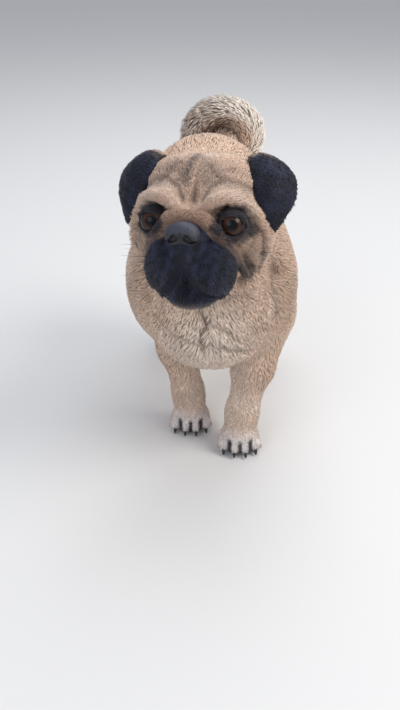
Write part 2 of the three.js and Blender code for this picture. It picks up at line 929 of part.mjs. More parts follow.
function legSolids(name) {
  const front = name.startsWith("front");
  const side = name.endsWith("left") ? 1 : -1;
  const [px, py] = PAWS[name];
  const plane = front ? FRONT_LEG_PLANE : HIND_LEG_PLANE;
  const ownPlane = side > 0 ? plane : mirroredPlane(plane);
  const pawHeight = front ? FRONT_PAW_HEIGHT : HIND_PAW_HEIGHT;
  const pawTop = [[0, 0, pawHeight], [0, 0, 1]];
  const reach = front ? [56, 86] : [112, 70];
  const legLines = [
    graded([Math.min(px - 36, px * 2.2), Math.max(px + 36, px * 2.2), 9.5]),
    graded([py - reach[0], py + reach[1], 11]),
    graded([pawHeight - 14, 232, 13]),
  ];
  const whole = solidOf(bodyForm, ...legLines);
  const leg = keepBeyond(whole.intersect(legRegion(ownPlane, front, GAP / 2)), pawTop);
  const pawLines = [
    graded([px - 36, px + 36, 5.6]),
    graded([py - 44, py - 8, 5.6], [py - 8, py + 46, 10]),
    graded([-10, 24, 6], [24, pawHeight + 14, 9]),
  ];
  let paw = solidOf(bodyForm, ...pawLines);
  for (const claw of clawSolids(PAWS[name])) {
    paw = paw.add(claw);
  }
  paw = paw.subtract(blockBeyond([0, 0, 0], [0, 0, -1]));
  paw = keepBehind(paw, pawTop);
  const half = blockBeyond([0, 0, 0], [side, 0, 0], 0.2);
  paw = paw.intersect(half);
  return { leg: largest(leg), paw: largest(paw) };
}

// The tail: one turn of a helix that rises from the croup, falls over it and curls into itself.
const TAIL_START_ANGLE = -72;
const TAIL_END_ANGLE = 290;
const TAIL_STATIONS = 30;
const TAIL_TIGHTEN = 0.62;
const TAIL_ROOT_SHARE = 0.26;
const TAIL_CURL_SHARE = 0.5;

function tailStation(share) {
  const angle = rad(TAIL_START_ANGLE + (TAIL_END_ANGLE - TAIL_START_ANGLE) * share);
  const [cx, cy, cz] = TAIL_RING_CENTRE;
  const [rx, rz] = TAIL_RING_RADIUS;
  const tighten = 1 - TAIL_TIGHTEN * share ** 6;
  const thick = TAIL_THICK + (TAIL_TIP_THICK - TAIL_THICK) * share ** 2;
  return [
    cx + Math.cos(angle) * rx * tighten,
    cy + 10 - 26 * share,
    cz + Math.sin(angle) * rz * tighten,
    thick / 2,
  ];
}

function tailForm() {
  const stations = [];
  for (let i = 0; i <= TAIL_STATIONS; i += 1) {
    stations.push(tailStation(i / TAIL_STATIONS));
  }
  return roll(stations);
}

function tailPlane(share) {
  const here = new THREE.Vector3(...tailStation(share).slice(0, 3));
  const next = new THREE.Vector3(...tailStation(share + 0.01).slice(0, 3));
  return [here.toArray(), next.sub(here).normalize().toArray()];
}

function tailSolids() {
  const lines = [graded([-60, 80, 9]), graded([180, 300, 9]), graded([226, 362, 9])];
  const body = solidOf(grow(bodyForm, CLEARANCE), ...trunkGrid);
  const whole = largest(solidOf(tailForm(), ...lines).subtract(body));
  const first = tailPlane(TAIL_ROOT_SHARE);
  const second = tailPlane(TAIL_CURL_SHARE);
  const rest = keepBeyond(whole, first);
  return {
    tail_root: largest(keepBehind(whole, first)),
    tail_curl: largest(keepBehind(rest, second)),
    tail_tip: largest(keepBeyond(rest, second)),
  };
}

// Colours of the coat and of the bare parts.
const finishes = {
  fawn: { color: 0xc9a27c, roughness: 0.85, metalness: 0 },
  pale: { color: 0xdcc2a2, roughness: 0.85, metalness: 0 },
  black: { color: 0x1c1a1d, roughness: 0.8, metalness: 0 },
  nose: { color: 0x17161a, roughness: 0.45, metalness: 0 },
  eye: { color: 0x24140c, roughness: 0.08, metalness: 0 },
};

function addPiece(group, name, solid, finish, inverse = null) {
  const geometry = geometryFrom(solid);
  if (inverse) geometry.applyMatrix4(inverse);
  const material = new THREE.MeshStandardMaterial(finishes[finish]);
  material.name = finish;
  const mesh = new THREE.Mesh(geometry, material);
  mesh.name = name;
  group.add(mesh);
}

const dog = new THREE.Group();
const trunk = trunkSolids();
addPiece(dog, "neck", trunk.neck, "fawn");
addPiece(dog, "chest", trunk.chest, "fawn");
addPiece(dog, "loin", trunk.loin, "fawn");
addPiece(dog, "rump", trunk.rump, "fawn");
for (const name of Object.keys(PAWS)) {
  const { leg, paw } = legSolids(name);
  addPiece(dog, `leg_${name}`, leg, "fawn");
  addPiece(dog, `paw_${name}`, paw, "pale");
}
for (const [name, solid] of Object.entries(tailSolids())) {
  addPiece(dog, name, solid, "pale");
}

const head = new THREE.Group();
head.applyMatrix4(headFrame);
dog.add(head);
const headFinishes = {
  head: "fawn",
  nose: "nose",
  eye_left: "eye",
  eye_right: "eye",
  ear_left: "black",
  ear_right: "black",
};
for (const [name, solid] of Object.entries(headSolids())) {
  addPiece(head, name, solid, headFinishes[name]);
}

// Set the middle of the dog's footprint over the origin, with its soles on Z = 0.
const pug = new THREE.Group();
pug.add(dog);
pug.updateMatrixWorld(true);
const reach = new THREE.Box3().setFromObject(pug, true);
const middle = reach.getCenter(new THREE.Vector3());
dog.position.set(-middle.x, -middle.y, -reach.min.z);
pug.updateMatrixWorld(true);

export default pug;
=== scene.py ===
"""A pug standing still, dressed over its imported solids: skin, coat, eyes, nose, claws and whiskers.

Places inside the forms are millimetres in the dog's own frame, as its solids were drawn.
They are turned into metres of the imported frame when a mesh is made.
"""
import math
from types import SimpleNamespace

import bpy
import numpy as np
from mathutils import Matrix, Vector


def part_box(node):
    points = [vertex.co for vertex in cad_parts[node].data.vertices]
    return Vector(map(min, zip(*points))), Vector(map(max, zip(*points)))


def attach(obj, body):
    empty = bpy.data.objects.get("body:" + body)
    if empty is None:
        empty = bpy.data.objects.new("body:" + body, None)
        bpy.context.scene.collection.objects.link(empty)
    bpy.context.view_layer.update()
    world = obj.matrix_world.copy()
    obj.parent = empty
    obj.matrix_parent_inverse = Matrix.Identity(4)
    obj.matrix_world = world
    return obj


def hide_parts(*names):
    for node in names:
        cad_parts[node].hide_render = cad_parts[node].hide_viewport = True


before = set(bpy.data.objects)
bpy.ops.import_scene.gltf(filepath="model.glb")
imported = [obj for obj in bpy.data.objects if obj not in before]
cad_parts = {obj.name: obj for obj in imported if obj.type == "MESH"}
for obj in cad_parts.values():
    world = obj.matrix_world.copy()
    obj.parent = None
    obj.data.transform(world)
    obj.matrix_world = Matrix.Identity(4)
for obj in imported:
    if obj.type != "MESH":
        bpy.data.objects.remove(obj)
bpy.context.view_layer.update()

bl_info = {
    "name": "Pug maker",
    "version": (1, 0, 0),
    "blender": (4, 5, 0),
    "location": "View3D > Sidebar > Pug",
    "description": "Makes the skin, coat, eyes, nose, claws and whiskers of a standing pug",
    "category": "Add Mesh",
}

MM = 0.001

# The head: where its middle is, and how far it is turned, raised and tilted.
HEAD_CENTRE = np.array([-11.0, -29.0, 298.0])
HEAD_TURN = -15
HEAD_RAISE = -4
HEAD_TILT = -2.5

SKULL_WIDTH = 112
SKULL_TOP = 57
CHEEK_WIDTH = 130
MUZZLE_WIDTH = 84
MUZZLE_FRONT = -80
FLEW_TOP = -2
FLEW_BOTTOM = -59
CHIN_BOTTOM = -69
MOUTH_MIDDLE = -3

EYE_RADIUS = 11.8
EYE_CENTRE = (35.0, -48.0, 7.5)
EYE_SPLAY = 17
EYE_LIFT = 4
LID_RADIUS = 13.8
LID_OPENING = (9.0, 7.2)

NOSE_WIDTH = 29
NOSE_HEIGHT = 19
NOSE_CENTRE = (0.0, -77.0, 6.0)

BACK_HEIGHT = 288
CHEST_WIDTH = 172
RUMP_WIDTH = 150
BELLY_HEIGHT = 122

PAW_WIDTH = 48
PAW_LENGTH = 56
PAWS = {
    "front_left": (28, 20),
    "front_right": (-28, 62),
    "hind_left": (52, 246),
    "hind_right": (-50, 250),
}
TOE_PLACES = (-1.35, -0.48, 0.48, 1.35)
GAP_PLACES = (-0.92, 0.0, 0.92)
TOE_SPREAD = PAW_WIDTH * 0.27
GAP_WIDTH = 2.5

TAIL_RING_CENTRE = (8.5, 246, 299)
TAIL_RING_RADIUS = (32, 28)
TAIL_THICK = 41
TAIL_TIP_THICK = 30
TAIL_TIGHTEN = 0.62
TAIL_START_ANGLE = -72
TAIL_END_ANGLE = 290
TAIL_STATIONS = 30
TAIL_HEART = (8.5, 238, 295)
TAIL_REACH = 90

# The camera in the dog's own frame, worked out from the paws, head and tail.
CAMERA_PLACE = (-17.0, -727.0, 554.0)
CAMERA_PITCH = 30
CAMERA_FOCUS_PIXELS = 800
PHOTO_HEIGHT_PIXELS = 710
SENSOR_SIZE = 36

HEAD_NODES = ["head", "ear_left", "ear_right"]
BODY_NODES = ["neck", "chest", "loin", "rump", "tail_root", "tail_curl", "tail_tip"]
LEG_NODES = [f"{part}_{name}" for name in PAWS for part in ("leg", "paw")]


def turned_about(axis, degrees):
    """Matrix that turns about X, Y or Z."""
    sine, cosine = math.sin(math.radians(degrees)), math.cos(math.radians(degrees))
    matrix = np.eye(3)
    first, second = [(1, 2), (2, 0), (0, 1)][axis]
    matrix[first, first] = matrix[second, second] = cosine
    matrix[first, second] = -sine
    matrix[second, first] = sine
    return matrix


HEAD_AXES = turned_about(2, HEAD_TURN) @ turned_about(1, HEAD_TILT) @ turned_about(0, HEAD_RAISE)


def to_head(points):
    """Points of the dog's frame in the head's frame."""
    return (points - HEAD_CENTRE) @ HEAD_AXES


def from_head(points):
    """Points of the head's frame in the dog's frame."""
    return np.asarray(points, float) @ HEAD_AXES.T + HEAD_CENTRE


def eye_centre(side):
    return np.array([EYE_CENTRE[0] * side, EYE_CENTRE[1], EYE_CENTRE[2]])


def frame_shift():
    """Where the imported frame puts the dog's own frame, read from the left eye."""
    low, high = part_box("eye_left")
    middle = (np.array(low) + np.array(high)) / 2 / MM
    return middle - from_head(eye_centre(1))


SHIFT = frame_shift()


def to_frame(points):
    """Points of the dog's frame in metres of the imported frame."""
    return (np.asarray(points, float) + SHIFT) * MM


# Distance functions. Each takes an array of points and is negative inside the form.


def ball(centre, radii):
    """A rounded mass with a radius along each axis."""
    centre, radii = np.array(centre, float), np.array(radii, float)

    def form(points):
        scaled = (points - centre) / radii
        away = np.linalg.norm(scaled, axis=1)
        slope = np.linalg.norm(scaled / radii, axis=1) + 1e-9
        return away * (away - 1) / slope

    return form


def limb(start, end, start_radius, end_radius):
    """A round bar whose radius changes evenly from start to end."""
    start, along = np.array(start, float), np.array(end, float) - np.array(start, float)
    squared = along @ along

    def form(points):
        offset = points - start
        share = np.clip(offset @ along / squared, 0, 1)
        away = np.linalg.norm(offset - share[:, None] * along, axis=1)
        return away - (start_radius + (end_radius - start_radius) * share)

    return form


def joined(forms):
    """All the forms together, with no blend between them."""
    def form(points):
        value = forms[0](points)
        for other in forms[1:]:
            value = np.minimum(value, other(points))
        return value

    return form


def roll(stations):
    """A bar of round sections through stations of x, y, z and radius."""
    return joined([limb(a[:3], b[:3], a[3], b[3]) for a, b in zip(stations, stations[1:])])


def blend_values(first, second, softness):
    """The lesser of two distances, rounded where they are closer than softness."""
    overlap = np.maximum(softness - np.abs(first - second), 0) / softness
    return np.minimum(first, second) - overlap * overlap * softness * 0.25


def blend(softness, *forms):
    """Forms grown together, with hollows rounded over."""
    def form(points):
        value = forms[0](points)
        for other in forms[1:]:
            value = blend_values(value, other(points), softness)
        return value

    return form


def press(softness, body, *tools):
    """The body with the tools pressed into it, with soft edges."""
    def form(points):
        value = -body(points)
        for tool in tools:
            value = blend_values(value, tool(points), softness)
        return -value

    return form


def folded_over(points):
    """Points of the head with its right side laid over its left."""
    folded = points * 1.0
    folded[:, 0] = np.abs(folded[:, 0])
    return folded


def pair(form_of_one_side):
    """Both sides of the head from the form of its left side."""
    return lambda points: form_of_one_side(folded_over(points))


def near(form, centre, reach, far=60.0):
    """The form where it matters, and a safe distance elsewhere."""
    centre = np.array(centre, float)

    def limited(points):
        away = np.linalg.norm(points - centre, axis=1)
        value = np.maximum(away - reach, 0) + far
        close = away < reach
        if close.any():
            value[close] = form(points[close])
        return value

    return limited


# The head's flesh in its own frame.


def skull_form():
    """The round skull with its cheeks."""
    half = SKULL_WIDTH / 2
    return blend(
        14,
        ball((0, 8, 8), (half, 56, SKULL_TOP - 8)),
        pair(ball((25, -8, 24), (27, 36, SKULL_TOP - 27))),
        pair(ball((CHEEK_WIDTH / 2 - 27, -8, -12), (27, 38, 34))),
        ball((0, -30, -14), (44, 34, 34)),
    )


def brow_form():
    """The raised brows over the eyes."""
    return pair(roll([
        (11, -55, 20, 5),
        (19, -54, 28, 6),
        (32, -49, 31, 6.5),
        (44, -40, 26, 6),
        (52, -30, 12, 4.5),
    ]))


def muzzle_form():
    """The two pads of the upper lip and what joins them under the nose."""
    pad = MUZZLE_WIDTH / 2 - 23
    middle = (FLEW_TOP + FLEW_BOTTOM) / 2
    return blend(
        5,
        pair(ball((pad, MUZZLE_FRONT + 22, middle), (23, 22, FLEW_TOP - middle))),
        ball((0, MUZZLE_FRONT + 20, 0), (19, 18, 16)),
        ball((0, MUZZLE_FRONT + 17, -14), (13, 16, 16)),
    )


def chin_form():
    return ball((0, MUZZLE_FRONT + 26, CHIN_BOTTOM + 15), (25, 22, 15))


def nose_roll_form():
    """The roll of skin over the nose, down to the corners of the mouth."""
    return pair(roll([
        (0, -65, 19, 6.5),
        (15, -64, 15, 6.5),
        (28, -60, 0, 6.5),
        (40, -50, -20, 6.5),
        (45, -40, -38, 5),
    ]))


def cheek_fold_form():
    """The hanging fold behind each corner of the mouth."""
    return pair(roll([
        (57, -28, 4, 4),
        (58, -26, -16, 6),
        (52, -26, -36, 7),
        (40, -24, -52, 6),
    ]))


def line_distance(stations):
    """Distance from a bent line through stations of x, y, z."""
    return roll([(*station, 0.0) for station in stations])


def creased(body, lines, strength):
    """The body with a soft crease along each line, as strong as strength says at each point."""
    def form(points):
        value = body(points)
        for stations, width, depth in lines:
            value = value + depth * strength(points, stations, width)
        return value

    return form


def face_crease(points, stations, width):
    """How near each point of the head is to a line of the face as seen from the front, from 0 to 1."""
    flat = folded_over(points) * (1, 0, 1)
    line = line_distance([(x, 0, z) for x, _, z in stations])
    front = falling(points[:, 1], -8, -26)
    return np.exp(-(line(flat) / width) ** 2) * front


# Creases of the left half of the face: stations, width and depth.
FACE_CREASES = [
    ([(0, -66, 25), (-2, -58, 34), (-4, -46, 44), (-3, -34, 52)], 5.0, 3.6),
    ([(9, -62, 25), (14, -55, 35), (24, -48, 41), (36, -44, 39), (48, -36, 30)], 3.2, 1.9),
    ([(8, -52, 38), (16, -46, 45), (28, -40, 48), (40, -33, 44), (50, -24, 36)], 3.4, 1.5),
    ([(12, -38, 50), (24, -32, 53), (38, -25, 50), (48, -16, 42)], 3.4, 1.1),
    ([(51, -40, 10), (54, -38, -2), (50, -45, -13), (44, -52, -22)], 3.0, 1.9),
    ([(57, -34, -2), (58, -33, -10), (58, -32, -22), (54, -30, -38), (44, -28, -54)], 3.0, 3.0),
    ([(46, -44, -24), (50, -40, -34), (46, -36, -46)], 2.6, 1.8),
    ([(20, -67, 8), (27, -62, -2), (36, -56, -10), (42, -50, -20), (45, -44, -32)], 2.6, 1.6),
    ([(20, -66, 10), (28, -63, 14), (36, -62, 15)], 2.0, 1.0),
]


def lip_grooves():
    """The line of the mouth and the groove under the nose."""
    front = MUZZLE_FRONT
    lips = [
        roll([
            (MOUTH_MIDDLE, front + 4, -25, 2.2),
            (MOUTH_MIDDLE + 6 * side, front + 4.5, -34, 3.0),
            (MOUTH_MIDDLE + 13 * side, front + 4, -44, 3.4),
            (MOUTH_MIDDLE + 23 * side, front + 7.5, -50, 3.2),
            (MOUTH_MIDDLE + 33 * side, front + 15, -52, 2.6),
        ])
        for side in (1, -1)
    ]
    philtrum = roll([
        (0, front - 2, -2, 1.4),
        (MOUTH_MIDDLE / 2, front - 1, -12, 1.9),
        (MOUTH_MIDDLE, front + 3, -26, 2.4),
    ])
    return blend(1.0, *lips, philtrum)


def eye_axis(side):
    """The way that an eye's lids open, in the head's frame."""
    return turned_about(2, EYE_SPLAY * side) @ turned_about(0, -EYE_LIFT) @ np.array([0, -1.0, 0])


def lid_opening_form():
    """The almond between the lids of the left eye, open towards the front."""
    axis = eye_axis(1)
    across = np.cross(axis, (0, 0, 1.0))
    across /= np.linalg.norm(across)
    over = np.cross(across, axis)
    wide, high = LID_OPENING

    def form(points):
        offset = points - eye_centre(1)
        side, rise, depth = offset @ across, offset @ over, offset @ axis
        tilt = rise + side * -0.10
        flat = np.sqrt((side / wide) ** 2 + (tilt / high) ** 2)
        inner = np.clip(side / wide, -1.4, 1.4)
        pinch = (flat - 1 + 0.10 * inner ** 4) * high
        return np.maximum(pinch, 4.0 - depth)

    return form


def face_form():
    """The whole head with lids, lips, furrows and folds."""
    face = blend(8, skull_form(), chin_form(), cheek_fold_form())
    folded = blend(4, blend(9, face, brow_form()), muzzle_form(), nose_roll_form())
    lids = pair(ball(EYE_CENTRE, (LID_RADIUS,) * 3))
    lidded = blend(3, folded, lids)
    lipped = press(1.2, creased(lidded, FACE_CREASES, face_crease), lip_grooves())
    return press(1.4, lipped, pair(lid_opening_form()))


# Neck, trunk, legs and tail.


def neck_form():
    """The thick neck and throat."""
    return blend(
        26,
        limb((-5, 66, 236), (-9, 14, 292), 63, 56),
        ball((-8, -6, 236), (58, 44, 40)),
        ball((-10, 38, 300), (56, 44, 54)),
        ball((-4, 60, 254), (66, 60, 36)),
    )


def trunk_form():
    """Chest, loin, rump and shoulders."""
    rise = (BACK_HEIGHT - BELLY_HEIGHT) / 2
    middle = BELLY_HEIGHT + rise
    return blend(
        26,
        ball((-3, 86, middle), (CHEST_WIDTH / 2, 100, rise)),
        ball((-6, 18, 181), (68, 54, 68)),
        ball((0, 168, middle + 8), (70, 82, rise - 12)),
        ball((2, 222, middle + 6), (RUMP_WIDTH / 2 - 4, 66, rise - 6)),
        ball((44, 44, 192), (40, 46, 62)),
        ball((-54, 60, 188), (41, 46, 62)),
    )


# Loose folds of the neck and chest: stations, width and depth.
BODY_CREASES = [
    ([(-58, -22, 250), (-64, 6, 236), (-62, 30, 214)], 9.0, 4.5),
    ([(46, -30, 250), (58, 0, 234), (58, 26, 210)], 9.0, 4.5),
    ([(-40, -42, 226), (-10, -50, 214), (26, -42, 222)], 9.0, 4.5),
    ([(-62, 40, 330), (-10, 52, 346), (44, 40, 330)], 7.0, 2.4),
    ([(-56, 66, 318), (-8, 84, 330), (46, 66, 314)], 7.0, 2.4),
]


# Creases of the chest, as seen from the front.
CHEST_CREASES = [
    ([(-17, 0, 206), (-10, 0, 190), (-15, 0, 176), (-12, 0, 158)], 3.6, 3.6),
    ([(-60, 0, 186), (-44, 0, 174), (-14, 0, 167), (14, 0, 158), (34, 0, 150)], 4.0, 2.6),
    ([(-10, 0, 190), (8, 0, 182), (16, 0, 172)], 4.0, 2.0),
    ([(52, 0, 232), (56, 0, 206), (60, 0, 184)], 5.0, 2.2),
    ([(-62, 0, 236), (-70, 0, 214), (-68, 0, 196)], 5.0, 2.2),
]


def chest_crease(points, stations, width):
    """How near each point of the chest is to one of its lines, from 0 to 1."""
    front = falling(points[:, 1], 34, 14)
    return np.exp(-(line_distance(stations)(points * (1, 0, 1)) / width) ** 2) * front


def body_fold(points, stations, width):
    """How near each point is to a fold of the neck, from 0 to 1."""
    return np.exp(-(line_distance(stations)(points) / width) ** 2)


def front_leg_form(paw, side):
    px, py = paw
    return blend(
        12,
        limb((px + 25 * side, py + 30, 156), (px + 14 * side, py + 18, 100), 33, 24),
        limb((px + 14 * side, py + 18, 100), (px + 3 * side, py + 8, 46), 23, 18),
        limb((px + 3 * side, py + 8, 46), (px, py, 24), 18, 19),
    )


def hind_leg_form(paw, side):
    px, py = paw
    return blend(
        16,
        ball((px - 2 * side, py - 22, 182), (38, 60, 66)),
        limb((px + 2 * side, py - 42, 142), (px + side, py + 6, 88), 35, 21),
        limb((px + side, py + 12, 80), (px, py + 7, 26), 18, 18),
    )


def toe_ends(paw):
    """The root and the tip of each toe."""
    px, py = paw
    front = py - PAW_LENGTH / 2
    for place in TOE_PLACES:
        reach = 20 if abs(place) > 1 else 14
        root = (px + place * TOE_SPREAD * 0.78, front + 30, 16)
        tip = (px + place * TOE_SPREAD, front + reach, 10)
        yield root, tip


def paw_form(paw):
    px, py = paw
    toes = [limb(root, tip, 8.5, 8) for root, tip in toe_ends(paw)]
    return blend(3.2, ball((px, py + 3, 14), (PAW_WIDTH / 2 - 4, PAW_LENGTH / 2 - 4, 17)), *toes)


def leg_form(name):
    paw = PAWS[name]
    side = 1 if name.endswith("left") else -1
    upper = front_leg_form(paw, side) if name.startswith("front") else hind_leg_form(paw, side)
    return near(blend(9, upper, paw_form(paw)), (paw[0], paw[1], 110), 165)


def all_legs():
    return joined([leg_form(name) for name in PAWS])


def tail_station(share):
    """Middle and radius of the curled tail, at a share of its length."""
    angle = math.radians(TAIL_START_ANGLE + (TAIL_END_ANGLE - TAIL_START_ANGLE) * share)
    cx, cy, cz = TAIL_RING_CENTRE
    rx, rz = TAIL_RING_RADIUS
    tighten = 1 - TAIL_TIGHTEN * share ** 6
    thick = TAIL_THICK + (TAIL_TIP_THICK - TAIL_THICK) * share ** 2
    return (
        cx + math.cos(angle) * rx * tighten,
        cy + 10 - 26 * share,
        cz + math.sin(angle) * rz * tighten,
        thick / 2,
    )


TAIL_LINE = np.array([tail_station(i / TAIL_STATIONS) for i in range(TAIL_STATIONS + 1)])


def tail_form():
    """The curled tail with the coat that fills its ring."""
    cord = roll([tuple(station) for station in TAIL_LINE])
    return near(blend(4, cord, ball(TAIL_HEART, (20, 13, 19))), TAIL_RING_CENTRE, TAIL_REACH)


def in_head_frame(form_in_head):
    return lambda points: form_in_head(to_head(points))


def body_without_tail():
    head = near(in_head_frame(face_form()), HEAD_CENTRE, 125)
    trunk = blend(22, trunk_form(), neck_form())
    legged = blend(18, trunk, all_legs())
    folded = creased(blend(12, legged, head), BODY_CREASES, body_fold)
    return creased(folded, CHEST_CREASES, chest_crease)


# Depth of the coat over the body and the tail, and how much less it is on the face and feet.
COAT_DEPTH = 2.4
FACE_LESS = 1.8
FOOT_LESS = 1.2
TAIL_COAT_DEPTH = 4.5


def coat_depth(points):
    """How far the skin lies under the tips of the coat."""
    in_head = to_head(points)
    face = np.clip((75 - np.linalg.norm(in_head - (0, -30, 0), axis=1)) / 30, 0, 1)
    foot = np.clip((60 - points[:, 2]) / 40, 0, 1)
    return COAT_DEPTH - FACE_LESS * face - FOOT_LESS * foot * (1 - face)


def skin_form():
    """The whole skin, inside the tips of the coat."""
    body = body_without_tail()
    tail = tail_form()

    def form(points):
        return blend_values(body(points) + coat_depth(points), tail(points) + TAIL_COAT_DEPTH, 5)

    return form


# Nets of triangles over a form.


def grid_values(form, axes, chunk=400000):
    """The form's distances over a grid, worked out a chunk at a time."""
    xs, ys, zs = axes
    grid = np.stack(np.meshgrid(xs, ys, zs, indexing="ij"), -1).reshape(-1, 3)
    values = np.concatenate([form(grid[i:i + chunk]) for i in range(0, len(grid), chunk)])
    return values.reshape(len(xs), len(ys), len(zs))


CORNERS = [(a, b, c) for a in (0, 1) for b in (0, 1) for c in (0, 1)]
EDGES = [
    (i, j) for i in range(8) for j in range(i + 1, 8)
    if sum(abs(p - q) for p, q in zip(CORNERS[i], CORNERS[j])) == 1
]


def surface_net(form, low, high, step):
    """Corners and four-sided faces over a form, with one corner in each grid cell it crosses."""
    axes = [np.arange(a, b + step, step) for a, b in zip(low, high)]
    values = grid_values(form, axes)
    inside = values < 0
    counts = [n - 1 for n in inside.shape]
    shifted = [inside[a:a + counts[0], b:b + counts[1], c:c + counts[2]] for a, b, c in CORNERS]
    total = np.sum(shifted, axis=0)
    cells = np.argwhere((total > 0) & (total < 8))
    corner_values = np.stack([
        values[cells[:, 0] + a, cells[:, 1] + b, cells[:, 2] + c] for a, b, c in CORNERS
    ], 1)
    place = np.zeros((len(cells), 3))
    crossings = np.zeros(len(cells))
    for i, j in EDGES:
        first, second = corner_values[:, i], corner_values[:, j]
        cross = (first < 0) != (second < 0)
        share = np.where(cross, first / np.where(cross, first - second, 1), 0)
        point = np.array(CORNERS[i]) + share[:, None] * (np.array(CORNERS[j]) - CORNERS[i])
        place += np.where(cross[:, None], point, 0)
        crossings += cross
    points = np.array(low) + (cells + place / crossings[:, None]) * step
    index = np.full(counts, -1)
    index[tuple(cells.T)] = np.arange(len(cells))
    return points, net_faces(inside, index)


def net_faces(inside, index):
    """A face for each step of the grid that crosses the form, turned outwards."""
    quads = []
    for axis in range(3):
        u, v = (axis + 1) % 3, (axis + 2) % 3
        before = [slice(None)] * 3
        after = [slice(None)] * 3
        before[axis], after[axis] = slice(None, -1), slice(1, None)
        change = inside[tuple(before)] != inside[tuple(after)]
        nodes = np.argwhere(change)
        nodes = nodes[(nodes[:, u] > 0) & (nodes[:, v] > 0)]
        nodes = nodes[(nodes[:, u] < index.shape[u]) & (nodes[:, v] < index.shape[v])]
        ring = []
        for du, dv in ((-1, -1), (0, -1), (0, 0), (-1, 0)):
            cell = nodes.copy()
            cell[:, u] += du
            cell[:, v] += dv
            ring.append(index[tuple(cell.T)])
        quad = np.stack(ring, 1)
        outward = inside[tuple(nodes.T)]
        quads.append(np.where(outward[:, None], quad, quad[:, ::-1]))
    return np.concatenate(quads)


def split_quads(points, quads):
    """Two triangles for each four-sided face, cut along its shorter diagonal."""
    first = np.linalg.norm(points[quads[:, 0]] - points[quads[:, 2]], axis=1)
    second = np.linalg.norm(points[quads[:, 1]] - points[quads[:, 3]], axis=1)
    short = (first <= second)[:, None, None]
    one = quads[:, [[0, 1, 2], [0, 2, 3]]]
    two = quads[:, [[0, 1, 3], [1, 2, 3]]]
    return np.where(short, one, two).reshape(-1, 3)


def refined(points, triangles, wanted):
    """Split the wanted triangles in four, and their neighbours to match."""
    pairs = np.sort(triangles[:, [[0, 1], [1, 2], [2, 0]]], axis=2)
    keys = pairs[:, :, 0].astype(np.int64) * len(points) + pairs[:, :, 1]
    unique, inverse = np.unique(keys, return_inverse=True)
    inverse = inverse.reshape(-1, 3)
    split = np.zeros(len(unique), bool)
    split[inverse[wanted].ravel()] = True
    ends = np.stack([unique[split] // len(points), unique[split] % len(points)], 1)
    middle_of = np.full(len(unique), -1)
    middle_of[split] = len(points) + np.arange(split.sum())
    grown = np.concatenate([points, points[ends].mean(axis=1)])
    middles = middle_of[inverse]
    count = (middles >= 0).sum(axis=1)
    pieces = [triangles[count == 0]]
    for number in (1, 2, 3):
        chosen = count == number
        corners, mids = triangles[chosen], middles[chosen]
        lead = first_split(mids, number)
        rows = np.arange(len(corners))[:, None]
        order = (lead[:, None] + np.arange(3)) % 3
        a, b, c = corners[rows, order].T
        ab, bc, ca = mids[rows, order].T
        pieces += split_pattern(number, a, b, c, ab, bc, ca)
    return grown, np.concatenate(pieces)


def first_split(mids, number):
    """Which side of a triangle to start from, by how many of its sides are split."""
    has = mids >= 0
    if number == 1:
        return has.argmax(axis=1)
    if number == 2:
        return ((~has).argmax(axis=1) + 1) % 3
    return np.zeros(len(mids), int)


def split_pattern(number, a, b, c, ab, bc, ca):
    """The triangles that take the place of one with that number of split sides."""
    if number == 1:
        patterns = [(a, ab, c), (ab, b, c)]
    elif number == 2:
        patterns = [(ab, b, bc), (a, ab, bc), (a, bc, c)]
    else:
        patterns = [(a, ab, ca), (ab, b, bc), (ca, bc, c), (ab, bc, ca)]
    return [np.stack(pattern, 1) for pattern in patterns]


def form_slope(form, points, step=0.12):
    """Which way the form's distance grows at each point."""
    slope = np.empty_like(points)
    for axis in range(3):
        offset = np.zeros(3)
        offset[axis] = step
        slope[:, axis] = (form(points + offset) - form(points - offset)) / (2 * step)
    return slope


def settled(form, points, passes=3, most=1.0):
    """Move points onto the form along its slope."""
    for _ in range(passes):
        slope = form_slope(form, points)
        squared = np.maximum((slope ** 2).sum(axis=1), 0.05)
        move = -(form(points) / squared)[:, None] * slope
        size = np.linalg.norm(move, axis=1, keepdims=True)
        points = points + move * np.minimum(1, most / np.maximum(size, 1e-9))
    return points


def corner_normals(points, triangles):
    """The outward way at each corner of a net."""
    face = np.cross(
        points[triangles[:, 1]] - points[triangles[:, 0]],
        points[triangles[:, 2]] - points[triangles[:, 0]],
    )
    normals = np.zeros_like(points)
    for corner in range(3):
        np.add.at(normals, triangles[:, corner], face)
    return unit(normals)


# Ears: rows from the root over the crest to the tip, each from front edge to back edge.
EAR_ROWS = np.array([
    [(36, 12, 42), (45, 18, 42), (54, 25, 35)],
    [(38, 3, 54), (51, 9, 55), (65, 18, 46)],
    [(43, -12, 46), (61, -5, 50), (80, 6, 37)],
    [(49, -23, 29), (67, -18, 29), (82, -4, 20)],
    [(57.5, -27, 12), (67.5, -24, 9), (75, -14, 6)],
    [(66, -24, -2), (67.5, -23, -4), (69.5, -21, -2)],
], float)
EAR_STEPS = (40, 22)
EAR_THICK = 3.4


def through(stations, share):
    """A smooth curve through stations, at shares from 0 to 1."""
    stations = np.asarray(stations, float)
    last = len(stations) - 1
    place = np.clip(share, 0, 1) * last
    index = np.minimum(place.astype(int), last - 1)
    t = (place - index)[:, None]
    before, behind = 2 * stations[0] - stations[1], 2 * stations[-1] - stations[-2]
    padded = np.concatenate([[before], stations, [behind]])
    p0, p1, p2, p3 = (padded[index + k] for k in range(4))
    return 0.5 * (
        2 * p1 + (p2 - p0) * t + (2 * p0 - 5 * p1 + 4 * p2 - p3) * t ** 2
        + (3 * p1 - p0 - 3 * p2 + p3) * t ** 3
    )


